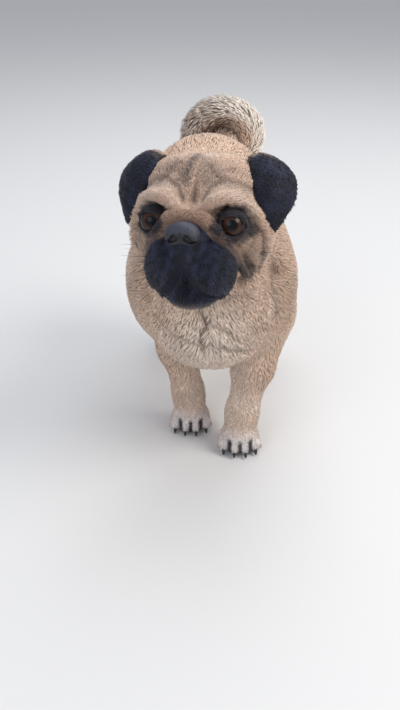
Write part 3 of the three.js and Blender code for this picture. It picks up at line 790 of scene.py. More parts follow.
def ear_sheet(side):
    """A grid of points over the ear's outer sheet, in the head's frame."""
    rows, columns = EAR_STEPS
    across = np.linspace(0, 1, columns + 1)
    along = np.linspace(0, 1, rows + 1)
    lines = [through(stations, across) for stations in EAR_ROWS]
    sheet = np.stack([through([line[j] for line in lines], along) for j in range(columns + 1)], 1)
    sheet[:, :, 0] *= side
    return sheet


def ear_net(side):
    """The ear as a closed shell: points in the dog's frame, triangles, and share along it."""
    sheet = ear_sheet(side)
    rows, columns = sheet.shape[:2]
    down = np.gradient(sheet, axis=0)
    over = np.gradient(sheet, axis=1)
    face = np.cross(down, over) * side
    face /= np.maximum(np.linalg.norm(face, axis=2, keepdims=True), 1e-9)
    edge = np.minimum(np.arange(columns), np.arange(columns)[::-1]) / (columns / 2)
    tip = np.arange(rows)[::-1] / rows
    round_edge = np.sqrt(np.clip(edge * 4, 0, 1))[None, :] * np.sqrt(np.clip(tip * 9, 0, 1))[:, None]
    half = (EAR_THICK / 2 * (0.12 + 0.88 * round_edge))[:, :, None]
    outer, inner = sheet + face * half, sheet - face * half
    points = from_head(np.concatenate([outer.reshape(-1, 3), inner.reshape(-1, 3)]))
    index = np.arange(rows * columns).reshape(rows, columns)
    quads = np.stack([index[:-1, :-1], index[1:, :-1], index[1:, 1:], index[:-1, 1:]], -1).reshape(-1, 4)
    under = quads[:, ::-1] + rows * columns
    border = np.concatenate([
        index[:, 0], index[-1, 1:], index[-2::-1, -1], index[0, -2:0:-1],
    ])
    after = np.roll(border, -1)
    rim = np.stack([after, border, border + rows * columns, after + rows * columns], 1)
    faces = np.concatenate([quads, under, rim])
    if side < 0:
        faces = faces[:, ::-1]
    along = np.tile(np.repeat(np.arange(rows) / (rows - 1), columns), 2)
    return points, split_quads(points, faces), along


# Markings of the skin and the coat, with painted shade and painted sheen, as functions of place alone.


def smooth_step(value, low, high):
    """0 up to low, 1 from high on, and a smooth rise between."""
    share = np.clip((value - low) / (high - low), 0, 1)
    return share * share * (3 - 2 * share)


def falling(value, high, low):
    """0 from high on, 1 down to low, and a smooth fall between."""
    return smooth_step(-value, -high, -low)


def unit(vectors):
    """Rows brought to length 1."""
    return vectors / np.maximum(np.linalg.norm(vectors, axis=1, keepdims=True), 1e-9)


def mixed(colours, other, share):
    """Rows moved towards the other by a share for each row."""
    return colours + (np.array(other) - colours) * np.clip(share, 0, 1)[:, None]


def ripple(points, scale, seed):
    """A smooth uneven value from -1 to 1 made of a few crossed waves."""
    rng = np.random.default_rng(seed)
    value = np.zeros(len(points))
    pace = 2 * math.pi / scale
    for _ in range(5):
        direction = rng.normal(size=3)
        direction /= np.linalg.norm(direction)
        value += np.sin(points @ direction * pace * rng.uniform(0.6, 1.5) + rng.uniform(0, 6.28))
    return value / 3.2


def markings_and_painted_light(points, look, ear_share):
    """Coat colour at each point, with painted shade and painted sheen laid in. ear_share is the way along
    the ear, or -1 off the ear.
    """
    pale, shade = look.pale, look.shade
    colours = np.tile(look.fawn, (len(points), 1))
    colours = mixed(colours, shade, 0.30 * smooth_step(ripple(points, 60, 3), -0.2, 1.2))
    colours = mixed(colours, pale, 0.45 * smooth_step(ripple(points, 42, 4), 0, 1.2))
    x, y, z = points.T
    spine = np.exp(-((x + 2) / 16) ** 2) * smooth_step(z, 262, 288) * smooth_step(y, 30, 60)
    colours = mixed(colours, shade * 0.45, 0.5 * spine)
    under = falling(z, 170, 110) * falling(np.abs(x), 70, 20) * falling(y, 250, 10)
    colours = mixed(colours, pale, 0.5 * under)
    chest = np.exp(-((x + 7) / 42) ** 2 - ((z - 165) / 45) ** 2) * falling(y, 30, -10)
    colours = mixed(colours, pale, 0.95 * chest)
    # Painted shade along the folds of the neck and the creases of the chest.
    for stations, width, depth in BODY_CREASES:
        colours = mixed(colours, shade, 0.16 * depth * body_fold(points, stations, 0.8 * width))
    for stations, width, depth in CHEST_CREASES:
        colours = mixed(colours, shade * 0.7, 0.19 * depth * chest_crease(points, stations, 0.8 * width))
    colours = paw_markings(points, colours, look)
    colours = tail_markings(points, colours, look)
    colours = head_markings(points, colours, look)
    return np.where((ear_share >= 0)[:, None], ear_markings(points, ear_share, look), colours)


def ear_markings(points, share, look):
    """Black velvet with a painted bluish sheen, starting a little way along the ear."""
    dark = smooth_step(share + 0.07 * ripple(points, 6, 8), 0.13, 0.32)
    # Painted sheen, uneven over the ear.
    sheen = 0.55 * smooth_step(ripple(points, 16, 9), -0.4, 1.2)
    velvet = mixed(np.tile(look.black, (len(points), 1)), look.mask_painted_sheen, sheen)
    return mixed(np.tile(look.fawn * 0.8, (len(points), 1)), velvet, dark)


def paw_markings(points, colours, look):
    """Whitish toes with painted shade between them and round their lower edge, and black under them."""
    for px, py in PAWS.values():
        offset = points - (px, py, 0)
        close = (np.abs(offset[:, 0]) < 34) & (np.abs(offset[:, 1]) < 46) & (points[:, 2] < 44)
        toe_pale = close * falling(offset[:, 1], 8, -12) * falling(points[:, 2], 38, 20)
        colours = mixed(colours, look.toe_pale, 0.95 * toe_pale)
        # Painted shade in the gaps between the toes and round the bottom of the paw, by the floor.
        front = falling(offset[:, 1], -4, -10) * falling(points[:, 2], 25, 19)
        gap = np.zeros(len(points))
        for place in GAP_PLACES:
            gap = np.maximum(gap, np.exp(-((offset[:, 0] - place * TOE_SPREAD) / GAP_WIDTH) ** 4))
        sides = smooth_step(np.abs(offset[:, 0]), 22, 25) * falling(points[:, 2], 14, 6)
        colours = mixed(colours, look.black, close * np.maximum(gap * front, 0.9 * sides) * 0.96)
        sole = close * falling(points[:, 2], 5, 2)
        colours = mixed(colours, look.black, sole)
    return colours


def close_to_tail(points):
    return np.linalg.norm(points - TAIL_RING_CENTRE, axis=1) < TAIL_REACH


def on_tail(points):
    """The nearest station of the tail for each point, and a share from 0 off the tail to 1 on it."""
    line = TAIL_LINE[:, :3]
    away = np.linalg.norm(points[:, None, :] - line[None, :, :], axis=2)
    cover = falling(away.min(axis=1), TAIL_THICK * 0.62, TAIL_THICK * 0.5)
    return away.argmin(axis=1), cover


def tail_markings(points, colours, look):
    """A pale outer side, a brown front and a dark stripe inside the curl."""
    close = close_to_tail(points)
    if not close.any():
        return colours
    index, cover = on_tail(points[close])
    share = index / TAIL_STATIONS
    middle = TAIL_LINE[index, :3]
    outward = unit(middle - TAIL_RING_CENTRE)
    spoke = unit(points[close] - middle)
    facing = (spoke * outward).sum(axis=1)
    front = -spoke[:, 1]
    tail = mixed(np.tile(look.fawn, (close.sum(), 1)), look.tail_pale, smooth_step(facing, -0.3, 0.5))
    stripe = smooth_step(0.35 * front - facing, 0.05, 0.75) * smooth_step(share, 0.2, 0.45)
    rough = 0.75 + 0.25 * ripple(points[close], 9, 12)
    late = smooth_step(share, 0.36, 0.56) * smooth_step(front, -0.5, 0.4)
    tail = mixed(tail, look.tail_brown, 0.75 * late * rough)
    tail = mixed(tail, look.tail_dark, stripe * rough)
    result = colours.copy()
    result[close] = mixed(colours[close], tail, cover)
    return result


HEAD_MARKS_REACH = 130
EYE_PATCH_MIDDLE = (36.5, -50, 7.5)
EYE_PATCH_RADII = (18.5, 22, 18.5)

# Dark spots of the cheeks, in the head's frame.
CHEEK_MOLES = ((56, -30, -22), (50, -36, -44))

# The pale line along each brow.
BROW_LINE = [(10, -55, 27), (16, -54, 34), (26, -50, 37), (40, -48, 31), (50, -38, 18)]

# Dark marks of the forehead, in the head's frame: stations, width and strength.
FOREHEAD_MARKS = [
    ([(-6, -8, 56), (-8, -24, 50), (-9, -36, 42), (-6, -50, 36), (0, -62, 29)], 4.4, 0.95),
    ([(-19, -22, 53), (-24, -31, 47), (-31, -40, 39)], 4.2, 0.75),
    ([(9, -22, 52), (17, -33, 46), (31, -41, 38)], 4.0, 0.70),
    ([(3, -12, 55), (6, -26, 49), (8, -40, 42), (6, -52, 36)], 3.4, 0.5),
    ([(-14, -36, 44), (-16, -46, 38)], 3.0, 0.4),
]


def ahead(spot, start, full):
    """A share that grows towards the front of the head."""
    return smooth_step(-spot[:, 1], start, full)


def unevenness(spot):
    """What makes the edges of the head's marks uneven, from -1 to 1."""
    return ripple(spot, 7, 21)


def forehead_markings(spot, hue, look):
    """Painted shade over the face, darker hairs of the forehead deepened with painted shade, the dark
    marks of the wrinkles and the pale brows.
    """
    side, up = np.abs(spot[:, 0]), spot[:, 2]
    fine = ripple(spot, 3.2, 22)
    # Darker hairs down the middle of the forehead, deepened with painted shade.
    forehead = np.exp(-(side / 30) ** 2) * smooth_step(up, 22, 34) * ahead(spot, 5, 30)
    hue = mixed(hue, look.shade, 0.72 * forehead * (0.7 + 0.5 * fine))
    # Painted shade over the front of the face.
    hue = mixed(hue, look.shade, 0.16 * ahead(spot, 10, 40))
    for stations, width, strength in FOREHEAD_MARKS:
        uneven_width = width * (1 + 0.25 * unevenness(spot))
        mark = np.exp(-(line_distance(stations)(spot) / uneven_width) ** 2)
        hue = mixed(hue, look.mask_soft, strength * mark * (0.8 + 0.3 * fine))
    return mixed(hue, look.pale, 0.32 * face_crease(spot, BROW_LINE, 4.0))


def eye_markings(spot, hue, look):
    """A dark patch round each eye, drawn out to both its corners, the stroke at the inner corner partly
    painted shade, and black lids.
    """
    eye = folded_over(spot)
    rough = unevenness(spot)
    offset = (eye - EYE_PATCH_MIDDLE) / EYE_PATCH_RADII
    patch = falling(np.linalg.norm(offset, axis=1) - 0.10 * rough, 1.16, 0.72)
    flat = eye * (1, 0, 1)
    # The inner stroke is partly a dark mark and partly painted shade.
    inner = falling(limb((26, 0, 8), (30, 0, 21), 6.0, 3.6)(flat) - 1.6 * rough, 3.4, -1.6)
    outer = falling(limb((46, 0, 3), (51, 0, -1), 6, 4.0)(flat) - 1.6 * rough, 3.0, -1.6)
    dark = np.maximum.reduce([patch, inner, outer]) * ahead(spot, 22, 36)
    hue = mixed(hue, look.mask_soft, dark)
    return mixed(hue, look.black, falling(lid_opening_form()(eye), 3.0, 1.2))


def cheek_painted_shade(spot, hue, look):
    """Painted shade on the cheeks and along the folds of the face."""
    side, up = np.abs(spot[:, 0]), spot[:, 2]
    # Painted shade on the cheeks.
    cheek = np.exp(-((side - 50) / 10) ** 2 - ((up + 18) / 16) ** 2) * ahead(spot, 12, 30)
    hue = mixed(hue, look.shade * 0.6, 0.45 * cheek)
    # Painted shade along each crease of the face.
    for stations, width, depth in FACE_CREASES:
        line = face_crease(spot, stations, 0.7 * width)
        hue = mixed(hue, look.shade * 0.6, min(0.34 * depth, 0.8) * line)
    return hue


def mask_markings(spot, hue, look):
    """The black mask with a painted bluish sheen of the sky, but for the roll over the nose; the line of
    the mouth is kept black as painted shade.
    """
    up = spot[:, 2]
    muzzle = np.minimum(muzzle_form()(spot), chin_form()(spot) + 0.5)
    mask = falling(muzzle - 0.7 * unevenness(spot), 4.6, 1.6) * ahead(spot, 26, 38)
    mask = mask * (1 - 0.4 * falling(up, -54, -66))
    keep_roll = falling(nose_roll_form()(spot) - muzzle, 1.5, -2.5) * smooth_step(up, -34, -18)
    # Uneven painted sheen of the sky over the black.
    tone = smooth_step(ripple(spot, 9, 31), -0.9, 1.1)
    # The grooves of the lips and the gap between them stay black, without sheen: painted shade.
    between = falling(np.abs(spot[:, 0] - MOUTH_MIDDLE), 9, 3) * falling(up, -30, -38)
    deep = np.maximum(falling(lip_grooves()(spot), 4.5, 1.5), between)
    black_with_painted_sheen = mixed(np.tile(look.black, (len(spot), 1)), look.mask_painted_sheen, tone * (1 - deep))
    return mixed(hue, black_with_painted_sheen, mask * (1 - 0.75 * keep_roll))


def mouth_corner_markings(spot, hue, look):
    """The dark corners of the mouth and the moles of the cheeks."""
    folded = folded_over(spot)
    corner = np.hypot((folded[:, 0] - 43) / 0.8, folded[:, 2] + 36) + 2 * unevenness(spot)
    hue = mixed(hue, look.black, 0.8 * falling(corner, 14, 3) * ahead(spot, 8, 22))
    for mole in CHEEK_MOLES:
        away = np.linalg.norm(folded - mole, axis=1)
        hue = mixed(hue, look.black, 0.7 * falling(away, 3.2, 1.8))
    return hue


def nose_roll_markings(spot, hue, look):
    """The brown roll over the nose."""
    on_roll = falling(nose_roll_form()(spot), 4.5, 0.5) * ahead(spot, 34, 48)
    return mixed(hue, look.roll_brown, 0.9 * on_roll)


def head_markings(points, colours, look):
    """Every mark of the head, with its painted shade and sheen, laid one over the other."""
    local = to_head(points)
    close = np.linalg.norm(local, axis=1) < HEAD_MARKS_REACH
    if not close.any():
        return colours
    spot = local[close]
    hue = colours[close]
    for layer in (
        forehead_markings,
        nose_roll_markings,
        eye_markings,
        cheek_painted_shade,
        mask_markings,
        mouth_corner_markings,
    ):
        hue = layer(spot, hue, look)
    result = colours.copy()
    result[close] = hue
    return result


# Properties that a user would change.


def colour_property(name, description, default):
    return bpy.props.FloatVectorProperty(
        name=name, description=description, default=default, size=3, min=0, max=1, subtype="COLOR",
    )


class PugColours(bpy.types.PropertyGroup):
    """Colours of the coat and of the bare parts."""
    fawn: colour_property("Fawn", "Main colour of the coat", (0.70, 0.50, 0.37))
    pale: colour_property("Pale", "Lightest fawn, on the chest and brows", (0.88, 0.74, 0.63))
    # Shade is also used as painted shade: along the folds and creases, over the face and on the cheeks.
    shade: colour_property("Shade", "Darker hairs among the fawn", (0.30, 0.20, 0.155))
    # In the gaps between the toes and round the bottom of the paws, this black is painted shade.
    black: colour_property("Black", "Mask, ears and the gaps between the toes", (0.008, 0.009, 0.018))
    # A painted bluish sheen of the sky on the black mask and ears.
    mask_painted_sheen: colour_property("Mask sheen", "Bluish hairs of the mask and ears", (0.026, 0.032, 0.068))
    mask_soft: colour_property("Soft mask", "Round the eyes and on the forehead", (0.026, 0.022, 0.028))
    roll_brown: colour_property("Nose roll", "The roll over the nose", (0.30, 0.185, 0.13))
    toe_pale: colour_property("Toes", "Whitish toes", (0.88, 0.80, 0.76))
    tail_pale: colour_property("Tail", "Outer side of the tail", (0.86, 0.77, 0.67))
    tail_brown: colour_property("Tail brown", "Front of the curl", (0.36, 0.24, 0.175))
    tail_dark: colour_property("Tail stripe", "Inner side of the tail", (0.09, 0.05, 0.032))
    iris: colour_property("Iris", "Colour of the iris", (0.062, 0.022, 0.009))


class PugSizes(bpy.types.PropertyGroup):
    """Sizes of the nets and of the coat."""
    skin_step: bpy.props.FloatProperty(
        name="Skin step", description="Grid step of the skin's net", default=0.0034, unit="LENGTH",
    )
    tuft_length: bpy.props.FloatProperty(
        name="Tuft length", description="Length of a tuft on the back", default=0.0088, unit="LENGTH",
    )
    coat_fill: bpy.props.FloatProperty(
        name="Coat fill", description="Share of the full number of tufts", default=1.0, min=0.01, max=1,
    )
    whisker_length: bpy.props.FloatProperty(
        name="Whisker length", description="Length of the longest whisker", default=0.030, unit="LENGTH",
    )


def palette():
    """The colours as arrays."""
    colours = bpy.context.scene.pug_colours
    names = PugColours.__annotations__
    return SimpleNamespace(**{name: np.array(getattr(colours, name)) for name in names})


def sizes():
    return bpy.context.scene.pug_sizes


# Shaders.


class Shade:
    """A socket of a node tree, with the sums that shaders need."""

    def __init__(self, tree, socket):
        self.tree = tree
        self.socket = socket

    @staticmethod
    def plug(tree, target, value):
        """Link a socket to the target, or set the target to a plain value."""
        if isinstance(value, Shade):
            tree.links.new(value.socket, target)
        else:
            target.default_value = value

    def math(self, operation, *values):
        """Add a Math node for the operation on the values."""
        node = self.tree.nodes.new("ShaderNodeMath")
        node.operation = operation
        for target, value in zip(node.inputs, values):
            self.plug(self.tree, target, value)
        return Shade(self.tree, node.outputs[0])

    def __add__(self, other):
        return self.math("ADD", self, other)

    __radd__ = __add__

    def __mul__(self, other):
        return self.math("MULTIPLY", self, other)

    __rmul__ = __mul__

    def __sub__(self, other):
        return self.math("SUBTRACT", self, other)

    def __rsub__(self, other):
        return self.math("SUBTRACT", other, self)


def make_node(tree, kind, settings=None, output=0, **inputs):
    """Add a node, give it its settings first, and then its sockets' values or links by name."""
    node = tree.nodes.new(kind)
    for key, value in (settings or {}).items():
        setattr(node, key, value)
    for key, value in inputs.items():
        Shade.plug(tree, node.inputs[key.replace("_", " ")], value)
    return Shade(tree, node.outputs[output])


def new_material(name):
    """A material with a Principled shader: the material, its node tree and the shader."""
    material = bpy.data.materials.new(name)
    material.use_nodes = True
    tree = material.node_tree
    tree.nodes.clear()
    shader = tree.nodes.new("ShaderNodeBsdfPrincipled")
    output = tree.nodes.new("ShaderNodeOutputMaterial")
    tree.links.new(shader.outputs[0], output.inputs[0])
    return material, tree, shader


def fixed(shader, **values):
    """Set sockets of a shader to plain values."""
    for key, value in values.items():
        shader.inputs[key.replace("_", " ")].default_value = value


def colour_mix(tree, kind, factor, first, second):
    """Mix two colours with a Mix node."""
    mix = tree.nodes.new("ShaderNodeMix")
    mix.data_type = "RGBA"
    mix.blend_type = kind
    for index, value in ((0, factor), (6, first), (7, second)):
        Shade.plug(tree, mix.inputs[index], value)
    return Shade(tree, mix.outputs[2])


def skin_material():
    material, tree, shader = new_material("pug_skin")
    place = make_node(tree, "ShaderNodeTexCoord", output=3)
    hue = make_node(tree, "ShaderNodeAttribute", {"attribute_name": "coat_colour"})
    fine = make_node(tree, "ShaderNodeTexNoise", Vector=place, Scale=900.0, Detail=3.0)
    broad = make_node(tree, "ShaderNodeTexNoise", Vector=place, Scale=60.0, Detail=4.0)
    tone = fine * 0.5 + broad * 0.35 + 0.55
    tint = make_node(tree, "ShaderNodeCombineColor", Red=tone, Green=tone, Blue=tone)
    coloured = colour_mix(tree, "MULTIPLY", 1.0, hue, tint)
    tree.links.new(coloured.socket, shader.inputs["Base Color"])
    bump = make_node(tree, "ShaderNodeBump", Height=fine * 0.7 + broad, Strength=0.35, Distance=0.0006)
    tree.links.new(bump.socket, shader.inputs["Normal"])
    fixed(shader, Roughness=0.66, Sheen_Weight=0.06, Sheen_Roughness=0.45)
    shader.inputs["Specular IOR Level"].default_value = 0.25
    return material


def coat_material():
    material, tree, shader = new_material("pug_coat")
    hue = make_node(tree, "ShaderNodeAttribute", {"attribute_name": "coat_colour"})
    tree.links.new(hue.socket, shader.inputs["Base Color"])
    fixed(shader, Roughness=0.55, Sheen_Weight=0.06, Sheen_Roughness=0.4)
    shader.inputs["Specular IOR Level"].default_value = 0.3
    return material


# Meshes and their objects.


def mesh_from(name, points, triangles, colours=None):
    """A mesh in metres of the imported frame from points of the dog's frame."""
    mesh = bpy.data.meshes.new(name)
    mesh.vertices.add(len(points))
    mesh.vertices.foreach_set("co", to_frame(points).astype(np.float32).ravel())
    sides = triangles.shape[1]
    mesh.loops.add(triangles.size)
    mesh.loops.foreach_set("vertex_index", triangles.astype(np.int32).ravel())
    mesh.polygons.add(len(triangles))
    mesh.polygons.foreach_set("loop_start", np.arange(0, triangles.size, sides, dtype=np.int32))
    mesh.update(calc_edges=True)
    mesh.validate()
    mesh.polygons.foreach_set("use_smooth", np.ones(len(mesh.polygons), bool))
    if colours is not None:
        layer = mesh.color_attributes.new("coat_colour", "FLOAT_COLOR", "POINT")
        rgba = np.concatenate([colours, np.ones((len(colours), 1))], 1)
        layer.data.foreach_set("color", rgba.astype(np.float32).ravel())
    return mesh


def add_object(mesh, material):
    """An object of the mesh at the origin, with its material."""
    piece = bpy.data.objects.new(mesh.name, mesh)
    bpy.context.collection.objects.link(piece)
    mesh.materials.clear()
    mesh.materials.append(material)
    return piece


# The block of space that holds the skin, and where its net is made finer.
SKIN_LOW = (-110, -118, -6)
SKIN_HIGH = (104, 322, 366)
HEAD_REACH = 92
FACE_MIDDLE = (0, -72, -10)
FACE_STRETCH = (1.0, 0.8, 1.1)
FACE_REACH = 46
EYE_REACH = 21
PAW_MIDDLE = (0, -8, 10)
PAW_REACH = (32, 34, 26)
SOLE_HEIGHT = 0.15

# The skin's net, kept for the coat that grows on it.
skin_store = {}


def centres_of(points, triangles):
    return points[triangles].mean(axis=1)


def on_head_or_paw(centres):
    """Where the net is made finer once."""
    wanted = np.linalg.norm(to_head(centres), axis=1) < HEAD_REACH
    for px, py in PAWS.values():
        offset = np.abs(centres - (px, py, 0) - PAW_MIDDLE)
        wanted |= (offset < PAW_REACH).all(axis=1)
    return wanted


def on_face(centres):
    """Where the net is made finer twice: on the muzzle and round the eyes."""
    local = to_head(centres)
    front = np.linalg.norm((local - FACE_MIDDLE) / FACE_STRETCH, axis=1) < FACE_REACH
    eyes = np.linalg.norm(folded_over(local) - EYE_CENTRE, axis=1) < EYE_REACH
    return front | eyes


def build_skin_net():
    """The skin's points and triangles, without the ears."""
    form = skin_form()
    points, quads = surface_net(form, SKIN_LOW, SKIN_HIGH, sizes().skin_step / MM)
    triangles = split_quads(points, quads)
    points = settled(form, points)
    points, triangles = refined(points, triangles, on_head_or_paw(centres_of(points, triangles)))
    points = settled(form, points)
    points, triangles = refined(points, triangles, on_face(centres_of(points, triangles)))
    points = settled(form, points, most=0.6)
    points[:, 2] = np.maximum(points[:, 2], SOLE_HEIGHT)
    return points, triangles


class PUG_OT_skin(bpy.types.Operator):
    """Make the one skin that stands for all the flesh and both ears"""
    bl_idname = "pug.skin"
    bl_label = "Skin"

    def execute(self, context):
        points, triangles = build_skin_net()
        shares = np.full(len(points), -1.0)
        for side in (1, -1):
            ear_points, ear_triangles, along = ear_net(side)
            triangles = np.concatenate([triangles, ear_triangles + len(points)])
            points = np.concatenate([points, ear_points])
            shares = np.concatenate([shares, along])
        colours = markings_and_painted_light(points, palette(), shares)
        skin_store.update(points=points, triangles=triangles, shares=shares)
        mesh = mesh_from("pug_skin", points, triangles, colours)
        piece = add_object(mesh, skin_material())
        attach(piece, "root")
        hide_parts(*HEAD_NODES, *BODY_NODES, *LEG_NODES)
        return {"FINISHED"}


PUPIL_BLACK = (0.002, 0.002, 0.003)
IRIS_RING = (0.006, 0.004, 0.004)
EYE_WHITE = (0.05, 0.024, 0.02)


def eye_material():
    material, tree, shader = new_material("pug_eye")
    hue = make_node(tree, "ShaderNodeAttribute", {"attribute_name": "coat_colour"})
    tree.links.new(hue.socket, shader.inputs["Base Color"])
    fixed(shader, Roughness=0.4, Coat_Weight=0.35, Coat_Roughness=0.02)
    shader.inputs["Specular IOR Level"].default_value = 0.05
    return material


def ring_net(rings, spokes):
    """Triangles over rings of corners, closed by a corner at each end, which come last in the list."""
    before, behind = rings * spokes, rings * spokes + 1
    index = np.arange(rings * spokes).reshape(rings, spokes)
    after = np.roll(index, -1, axis=1)
    return np.concatenate([
        np.stack([index[:-1], index[1:], after[1:]], -1).reshape(-1, 3),
        np.stack([index[:-1], after[1:], after[:-1]], -1).reshape(-1, 3),
        np.stack([np.full(spokes, before), index[0], after[0]], -1),
        np.stack([index[-1], np.full(spokes, behind), after[-1]], -1),
    ])


def eye_net(side):
    """A globe with a slightly bulging front, turned to look at the viewer."""
    rings, spokes = 56, 48
    gaze = np.array(CAMERA_PLACE) - from_head(eye_centre(side))
    gaze = gaze / np.linalg.norm(gaze) + 0.5 * HEAD_AXES @ eye_axis(side)
    gaze /= np.linalg.norm(gaze)
    across = np.cross(gaze, (0, 0, 1.0))
    across /= np.linalg.norm(across)
    over = np.cross(across, gaze)
    polar = np.linspace(0, math.pi, rings + 1)[1:-1]
    turn = np.linspace(0, 2 * math.pi, spokes, endpoint=False)
    bulge = EYE_RADIUS - 0.25 + 0.35 * np.exp(-(polar / 0.55) ** 4)
    spread = np.cos(turn)[:, None] * across + np.sin(turn)[:, None] * over
    directions = np.cos(polar)[:, None, None] * gaze + np.sin(polar)[:, None, None] * spread[None]
    globe = (directions * bulge[:, None, None]).reshape(-1, 3)
    poles = np.array([gaze * bulge[0], -gaze * bulge[-1]])
    points = np.concatenate([globe, poles]) + from_head(eye_centre(side))
    angles = np.degrees(np.concatenate([np.repeat(polar, spokes), [0, math.pi]]))
    around = np.concatenate([np.tile(turn, len(polar)), [0, 0]])
    return points, ring_net(rings - 1, spokes), angles, around


def eye_colours(angles, around):
    """The pupil, a fibrous iris, a dark ring and the brownish white, by degrees from the gaze."""
    iris = palette().iris
    fibres = 0.5 + 0.5 * np.sin(around * 37 + np.sin(around * 11) * 2)
    colours = mixed(np.tile(iris, (len(angles), 1)), iris * 0.35, 0.6 * fibres)
    colours = mixed(colours, PUPIL_BLACK, falling(angles, 27, 23))
    colours = mixed(colours, IRIS_RING, smooth_step(angles, 38, 46))
    return mixed(colours, EYE_WHITE, smooth_step(angles, 50, 60))


class PUG_OT_eyes(bpy.types.Operator):
    """Make both eyes"""
    bl_idname = "pug.eyes"
    bl_label = "Eyes"

    def execute(self, context):
        material = eye_material()
        for name, side in (("left", 1), ("right", -1)):
            points, triangles, angles, around = eye_net(side)
            mesh = mesh_from(f"globe_{name}", points, triangles, eye_colours(angles, around))
            piece = add_object(mesh, material)
            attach(piece, "root")
            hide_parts(f"eye_{name}")
        return {"FINISHED"}


def nose_form():
    """The nose leather, and the nostrils and groove that are pressed into it."""
    x, y, z = NOSE_CENTRE
    leather = blend(
        4,
        ball((x, y, z + 1), (NOSE_WIDTH / 2, 9.5, NOSE_HEIGHT / 2)),
        pair(ball((7.5, y - 2.5, z - 2), (7, 7, 6.5))),
    )
    nostril = pair(roll([
        (5.2, y - 9.5, z - 1.5, 3.1),
        (8.5, y - 8, z - 4, 2.1),
        (12, y - 4, z - 4.5, 1.5),
    ]))
    middle = roll([(0, y - 10, z + 2, 0.9), (0, y - 9, z - 10, 1.3)])
    return press(1.2, leather, nostril, middle), blend(1, nostril, middle)


# Colour in the nostrils and the middle groove, painted darker as shade over the dark leather; what the
# leather outside them adds; and the painted reflection of the sky that its upper side adds.
NOSTRIL_BLACK = np.array((0.003, 0.003, 0.004))
LEATHER_MORE = np.array((0.012, 0.013, 0.019))
SKY_ON_LEATHER = np.array((0.016, 0.019, 0.030))


def nose_material():
    material, tree, shader = new_material("pug_nose")
    place = make_node(tree, "ShaderNodeTexCoord", output=3)
    pebbles = make_node(tree, "ShaderNodeTexVoronoi", {"feature": "SMOOTH_F1"}, Vector=place, Scale=900.0)
    patchy = make_node(tree, "ShaderNodeTexNoise", Vector=place, Scale=160.0)
    hue = make_node(tree, "ShaderNodeAttribute", {"attribute_name": "coat_colour"})
    tree.links.new(hue.socket, shader.inputs["Base Color"])
    roughness = patchy * 0.25 + 0.36
    tree.links.new(roughness.socket, shader.inputs["Roughness"])
    bump = make_node(tree, "ShaderNodeBump", Height=pebbles, Strength=0.8, Distance=0.0007)
    tree.links.new(bump.socket, shader.inputs["Normal"])
    return material


class PUG_OT_nose(bpy.types.Operator):
    """Make the nose leather with its nostrils"""
    bl_idname = "pug.nose"
    bl_label = "Nose"

    def execute(self, context):
        form, hollows = nose_form()
        x, y, z = NOSE_CENTRE
        points, quads = surface_net(form, (x - 19, y - 15, z - 14), (x + 19, y + 13, z + 14), 0.8)
        points = settled(form, points, most=0.4)
        # Painted shade in the nostrils and the middle groove.
        out_of_hollows = smooth_step(hollows(points), -0.2, 1.6)[:, None]
        # Painted reflection of the sky, lighter on the upper side.
        upper = smooth_step(points[:, 2], z - 4, z + 8)[:, None]
        hues = NOSTRIL_BLACK + out_of_hollows * (LEATHER_MORE + upper * SKY_ON_LEATHER)
        mesh = mesh_from("nose_leather", from_head(points), split_quads(points, quads), hues)
        piece = add_object(mesh, nose_material())
        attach(piece, "root")
        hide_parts("nose")
        return {"FINISHED"}


# Fur: closed, bent blades that lie along the body.

# The way that the coat lies on each part of the dog. The tail's strength outweighs the others.
BACK_FLOW = (0.0, 0.9, -0.35)
CHEST_FLOW = (0.0, 0.1, -1.0)
LEG_FLOW = (0.0, 0.15, -1.0)
FOOT_FLOW = (0.0, -1.0, -0.35)
EAR_FLOW = (0.55, -0.35, -0.8)
TAIL_FLOW = 4

# The coat of the face parts from a point in front of the nose.
FACE_PARTING = (0, -88, 4)


def lie(points, normals, shares):
    """The way that the coat lies at each point."""
    local = to_head(points)
    flow = np.tile(BACK_FLOW, (len(points), 1))
    flow[:, 2] -= 0.5 * falling(points[:, 1], 90, 0)
    chest = falling(points[:, 1], 20, -30)
    flow = mixed(flow, CHEST_FLOW, chest)
    flow[:, 0] += 0.5 * chest * np.sign(points[:, 0] + 7)
    flow = mixed(flow, LEG_FLOW, falling(points[:, 2], 150, 110))
    flow = mixed(flow, FOOT_FLOW, falling(points[:, 2], 34, 18))
    flow += tail_flow(points)
    outward = local - FACE_PARTING
    outward[:, 2] += np.where(local[:, 2] < -4, -18, 4)
    in_face = falling(np.linalg.norm(local, axis=1), 104, 84)
    flow = mixed(flow, unit(outward) @ HEAD_AXES.T, in_face)
    down_ear = np.tile(EAR_FLOW, (len(points), 1))
    down_ear[:, 0] *= np.sign(local[:, 0])
    flow = np.where((shares >= 0)[:, None], down_ear @ HEAD_AXES.T, flow)
    flow -= (flow * normals).sum(axis=1)[:, None] * normals
    return unit(flow)


def tail_flow(points):
    """The way along the tail, where there is tail."""
    close = close_to_tail(points)
    flow = np.zeros_like(points)
    if close.any():
        index, cover = on_tail(points[close])
        after = np.minimum(index + 1, TAIL_STATIONS)
        along = unit(TAIL_LINE[after, :3] - TAIL_LINE[after - 1, :3])
        flow[close] = along * TAIL_FLOW * cover[:, None]
    return flow


# Length and rise of the tufts on each part of the dog, in millimetres.
BACK_RISE = 1.9
FACE_TUFT = (3.6, 0.6)
CHEST_TUFT_MORE = (3.0, 0.8)
LEG_TUFT = (7.0, 1.2)
FOOT_TUFT = (4.2, 0.7)
TAIL_TUFT = (14.0, 5.0)
EAR_TUFT = (2.7, 0.5)


